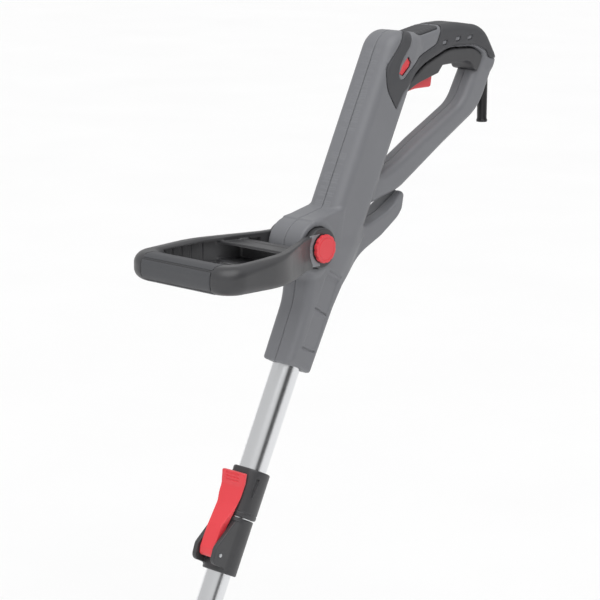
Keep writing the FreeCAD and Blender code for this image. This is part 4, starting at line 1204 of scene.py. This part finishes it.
class TRIMMER_OT_spindle(TrimmerOperator, bpy.types.Operator):
    """Builds the rotor, fan, line spool, its carrier and cap, the bump button and the bearings."""

    bl_idname = "trimmer.spindle"
    bl_label = "Spindle and spool"

    def execute(self, context):
        refined("motor_can", "head", "steel", 0.2)
        for node, key, bevel in (("rotor", "laminations", 0.3), ("spool_carrier", "nylon", 0.4),
                                 ("line_spool", "nylon", 0.3), ("spool_cap", "nylon", 0.4),
                                 ("line_ends", "line", 0.0)):
            refined(node, "spindle", key, bevel)
        refined("bump_button", "bump_button", "red", 0.5)
        place = upright_matrix(TILT_PIN) @ Matrix.Translation((*MOTOR, 0))
        self.add_bearings(place)
        self.add_fan(place)
        return {"FINISHED"}

    def add_bearings(self, place):
        """Two ball bearings: an outer and an inner ring with nine balls between them."""
        grid = Grid((-2, -2, -2), (2, 2, 2), 0.25)
        ball = hidden_item("ball", post(grid, 1.33, -1.33, 1.33, 1.3), grid)
        values = {"Count": 9, "Radius": 7.6, "Piece": ball, "Material": MATERIALS["bright"]}
        for node, low in (("bearing_upper", 4), ("bearing_lower", -77)):
            middle = place @ Matrix.Translation((0, 0, low + 3.5))
            balls = grown(node + "_balls", TREES["ring"], values, middle)
            outer = lathe(node + "_outer", tube_profile(9.0, 11.0, low, low + 7), place)
            inner = lathe(node + "_inner", tube_profile(4.05, 6.2, low, low + 7), place)
            finished(joined(node + "_form", [outer, inner, balls]), "head", node, "bright")
        bpy.data.objects.remove(ball)

    def add_fan(self, place):
        """Fan: a disc and hub with ten vanes."""
        grid = Grid((-9, -1.5, -4), (9, 1.5, 4), 0.4)
        vane = hidden_item("vane", brick(grid, (-8, 8), (-0.8, 0.8), (-3, 3), 0.3), grid)
        values = {"Count": 10, "Radius": 18.0, "Piece": vane, "Material": MATERIALS["nylon"]}
        vanes = grown("fan_vanes", TREES["ring"], values, place @ Matrix.Translation((0, 0, -62)))
        bpy.data.objects.remove(vane)
        hub = lathe("fan_hub", [(4.05, -66), (22, -66), (22, -64.2), (7, -64), (7, -58), (4.05, -58)], place)
        finished(joined("cooling_fan_form", [hub, vanes]), "spindle", "cooling_fan", "nylon")


class TRIMMER_OT_coils(TrimmerOperator, bpy.types.Operator):
    """Builds what is wound: the springs, the coiled lead and the line on its spool."""

    bl_idname = "trimmer.coils"
    bl_label = "Springs, lead and wound line"

    def execute(self, context):
        motor = upright_matrix(TILT_PIN) @ Matrix.Translation((*MOTOR, 0))
        button = Matrix.Translation((5.4, 6.5, 323)) @ Matrix.Rotation(math.pi / 2, 4, "Y")
        self.coil("lock_off_spring", "housing", "spring", 5, 2.8, 7.2, 0.35, shaft_matrix() @ button,
                  "lock_off_press", 3.5, 0.0)
        self.coil("bump_spring", "spindle", "spring", 9, 7.2, 34.0, 0.7,
                  motor @ Matrix.Translation((0, 0, -133.1)), "bump_press", 5.0, 34.0)
        self.coil("coiled_lead", "housing", "lead", sizes().lead_turns, 3.6, 568.0, 2.8,
                  shaft_matrix() @ Matrix.Translation((0, 0, -425)), "shaft_slide", 200.0, 568.0)
        layers = []
        for layer in range(9):
            values = {"Turns": 12.0, "Radius": 19.0 + layer * 1.6, "Height": 19.6,
                      "Wire": in_mm(sizes().line_radius), "Material": MATERIALS["line"]}
            place = motor @ Matrix.Translation((0, 0, -121.8)) @ Matrix.Rotation(layer * 1.1, 4, "Z")
            layers.append(grown(f"wound_line_{layer}", TREES["coil"], values, place))
        finished(joined("wound_line_form", layers), "spindle", "wound_line", "line")
        return {"FINISHED"}

    def coil(self, node, body, key, turns, radius, height, wire, place, joint, travel, held):
        """A coil of round wire at its full height; joint, travel and held are not used."""
        values = {"Turns": float(turns), "Radius": radius, "Height": height, "Wire": wire,
                  "Material": MATERIALS[key]}
        piece = grown(node + "_form", TREES["coil"], values, place)
        finished(piece, body, node, key)
        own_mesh(piece)


class TRIMMER_OT_screws(TrimmerOperator, bpy.types.Operator):
    """Builds the housing's and the guard's screws from one cross-headed form each."""

    bl_idname = "trimmer.screws"
    bl_label = "Screws"

    def execute(self, context):
        flat = Matrix.Rotation(math.pi / 2, 4, "Y")
        seats = [flat.inverted() @ Vector((2.0 - half, y, z)) for y, z, half in SCREWS]
        foot = [Vector((MOTOR[0] + x, MOTOR[1] + y, -87.2)) for x, y in GUARD_SCREWS]
        for node, body, length, shank, head, matrix, points in (
                ("housing_screws", "housing", 24.0, 1.6, 3.2, shaft_matrix() @ flat, seats),
                ("guard_screws", "head", 16.5, 1.95, 3.6, upright_matrix(TILT_PIN), foot)):
            grid = Grid((-4, -4, -0.6), (4, 4, length + 0.6), 0.3)
            item = hidden_item(node + "_item", screw(grid, length, shank, head), grid)
            values = {"Piece": item, "Material": MATERIALS["steel"]}
            piece = grown(node + "_form", TREES["copies"], values, matrix, points)
            bpy.data.objects.remove(item)
            finished(piece, body, node, "steel")
        return {"FINISHED"}


class TRIMMER_OT_inside(TrimmerOperator, bpy.types.Operator):
    """Refines the remaining pieces inside the handle."""

    bl_idname = "trimmer.inside"
    bl_label = "Inside pieces"

    def execute(self, context):
        refined("trigger_switch", "housing", "nylon", 0.5)
        refined("cord_clamp", "housing", "nylon", 0.4)
        return {"FINISHED"}


class TRIMMER_OT_stage(TrimmerOperator, bpy.types.Operator):
    """Builds the flat floor, the lights, the world and the camera."""

    bl_idname = "trimmer.stage"
    bl_label = "Stage"

    def execute(self, context):
        low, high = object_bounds()
        floor_z = low[2] - 0.001
        azimuth, elevation = math.radians(42.6), math.radians(13.0)
        toward = Vector((math.sin(azimuth) * math.cos(elevation), -math.cos(azimuth) * math.cos(elevation),
                         math.sin(elevation)))
        right = Vector((0, 0, 1)).cross(toward).normalized()
        up = toward.cross(right)
        neck = shaft_matrix() @ Vector((0, 0, 0))
        spot = neck + toward * 2.2 + right * 0.01356 + up * 0.06535
        add_floor(floor_z, MATERIALS["floor"])
        add_camera(spot, right, up, toward)
        add_lights(toward, right)
        add_world(toward, right)
        return {"FINISHED"}


def add_floor(level, material):
    """Pale floor round the object."""
    mesh = bpy.data.meshes.new("floor")
    reach = 60.0
    steps = 24
    row = steps + 1
    places = [(reach * (2 * i / steps - 1), reach * (2 * j / steps - 1), level)
              for j in range(row) for i in range(row)]
    starts = [j * row + i for j in range(steps) for i in range(steps)]
    mesh.from_pydata(places, [], [(k, k + 1, k + 1 + row, k + row) for k in starts])
    mesh.materials.append(material)
    floor = bpy.data.objects.new("floor", mesh)
    bpy.context.scene.collection.objects.link(floor)
    floor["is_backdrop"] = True


def add_camera(spot, right, up, toward):
    """Camera at the angle that the object is usually shown from."""
    data = bpy.data.cameras.new("camera")
    data.lens = 133.3
    data.sensor_width = 36.0
    data.clip_end = 100.0
    camera = bpy.data.objects.new("camera", data)
    turn = Matrix((right, up, toward)).transposed().to_4x4()
    camera.matrix_world = Matrix.Translation(spot) @ turn
    bpy.context.scene.collection.objects.link(camera)
    bpy.context.scene.camera = camera


def aimed(lamp, direction):
    """Turns a lamp so that it shines from a direction."""
    lamp.rotation_euler = Vector(direction).to_track_quat("Z", "Y").to_euler()
    bpy.context.scene.collection.objects.link(lamp)


def add_lights(toward, right):
    """Wide soft key light from above and behind the camera."""
    above = Vector((0, 0, 1))
    key = bpy.data.lights.new("key", "SUN")
    key.energy = 1.6
    key.angle = math.radians(60)
    aimed(bpy.data.objects.new("key", key), toward * 0.7 + right * 0.15 + above * 1.15)


def add_world(toward, right):
    """Studio surround: pale above, darker on the camera's right so that round metal shows a dark band."""
    world = bpy.data.worlds.new("studio")
    world.use_nodes = True
    tree = world.node_tree
    tree.nodes.clear()
    direction = add_node(tree, "ShaderNodeTexCoord").outputs["Generated"]
    side = (right * 0.85 + toward * 0.5).normalized()
    facing = add_node(tree, "ShaderNodeVectorMath", {0: direction, 1: side}, operation="DOT_PRODUCT")
    strength = add_node(tree, "ShaderNodeMapRange", {
        "Value": facing.outputs["Value"], "From Min": 0.72, "From Max": 0.88, "To Min": 0.68, "To Max": 0.05})
    light = add_node(tree, "ShaderNodeBackground", {
        "Color": colour("ffffff"), "Strength": strength.outputs["Result"]})
    output = add_node(tree, "ShaderNodeOutputWorld")
    tree.links.new(light.outputs[0], output.inputs["Surface"])
    bpy.context.scene.world = world
    bpy.context.scene.view_settings.view_transform = "Standard"


OPERATORS = (
    TRIMMER_OT_materials, TRIMMER_OT_housing, TRIMMER_OT_overmould, TRIMMER_OT_controls, TRIMMER_OT_boot,
    TRIMMER_OT_loop, TRIMMER_OT_tubes, TRIMMER_OT_clamp, TRIMMER_OT_motor_head, TRIMMER_OT_spindle,
    TRIMMER_OT_coils, TRIMMER_OT_screws, TRIMMER_OT_inside, TRIMMER_OT_stage,
)


class TRIMMER_PT_panel(bpy.types.Panel):
    """Lists the sizes and the building steps."""

    bl_idname = "TRIMMER_PT_panel"
    bl_label = "String trimmer"
    bl_space_type = "VIEW_3D"
    bl_region_type = "UI"
    bl_category = "Trimmer"

    def draw(self, context):
        for name in TrimmerSizes.__annotations__:
            self.layout.prop(context.scene.trimmer_sizes, name)
        for operator in OPERATORS:
            self.layout.operator(operator.bl_idname)


CLASSES = (TrimmerSizes, *OPERATORS, TRIMMER_PT_panel)


def register():
    for cls in CLASSES:
        bpy.utils.register_class(cls)
    bpy.types.Scene.trimmer_sizes = PointerProperty(type=TrimmerSizes)


def unregister():
    del bpy.types.Scene.trimmer_sizes
    for cls in reversed(CLASSES):
        bpy.utils.unregister_class(cls)


def main():
    """Builds the whole object."""
    register()
    for operator in OPERATORS:
        group, name = operator.bl_idname.split(".")
        getattr(getattr(bpy.ops, group), name)()


if __name__ == "__main__":
    main()
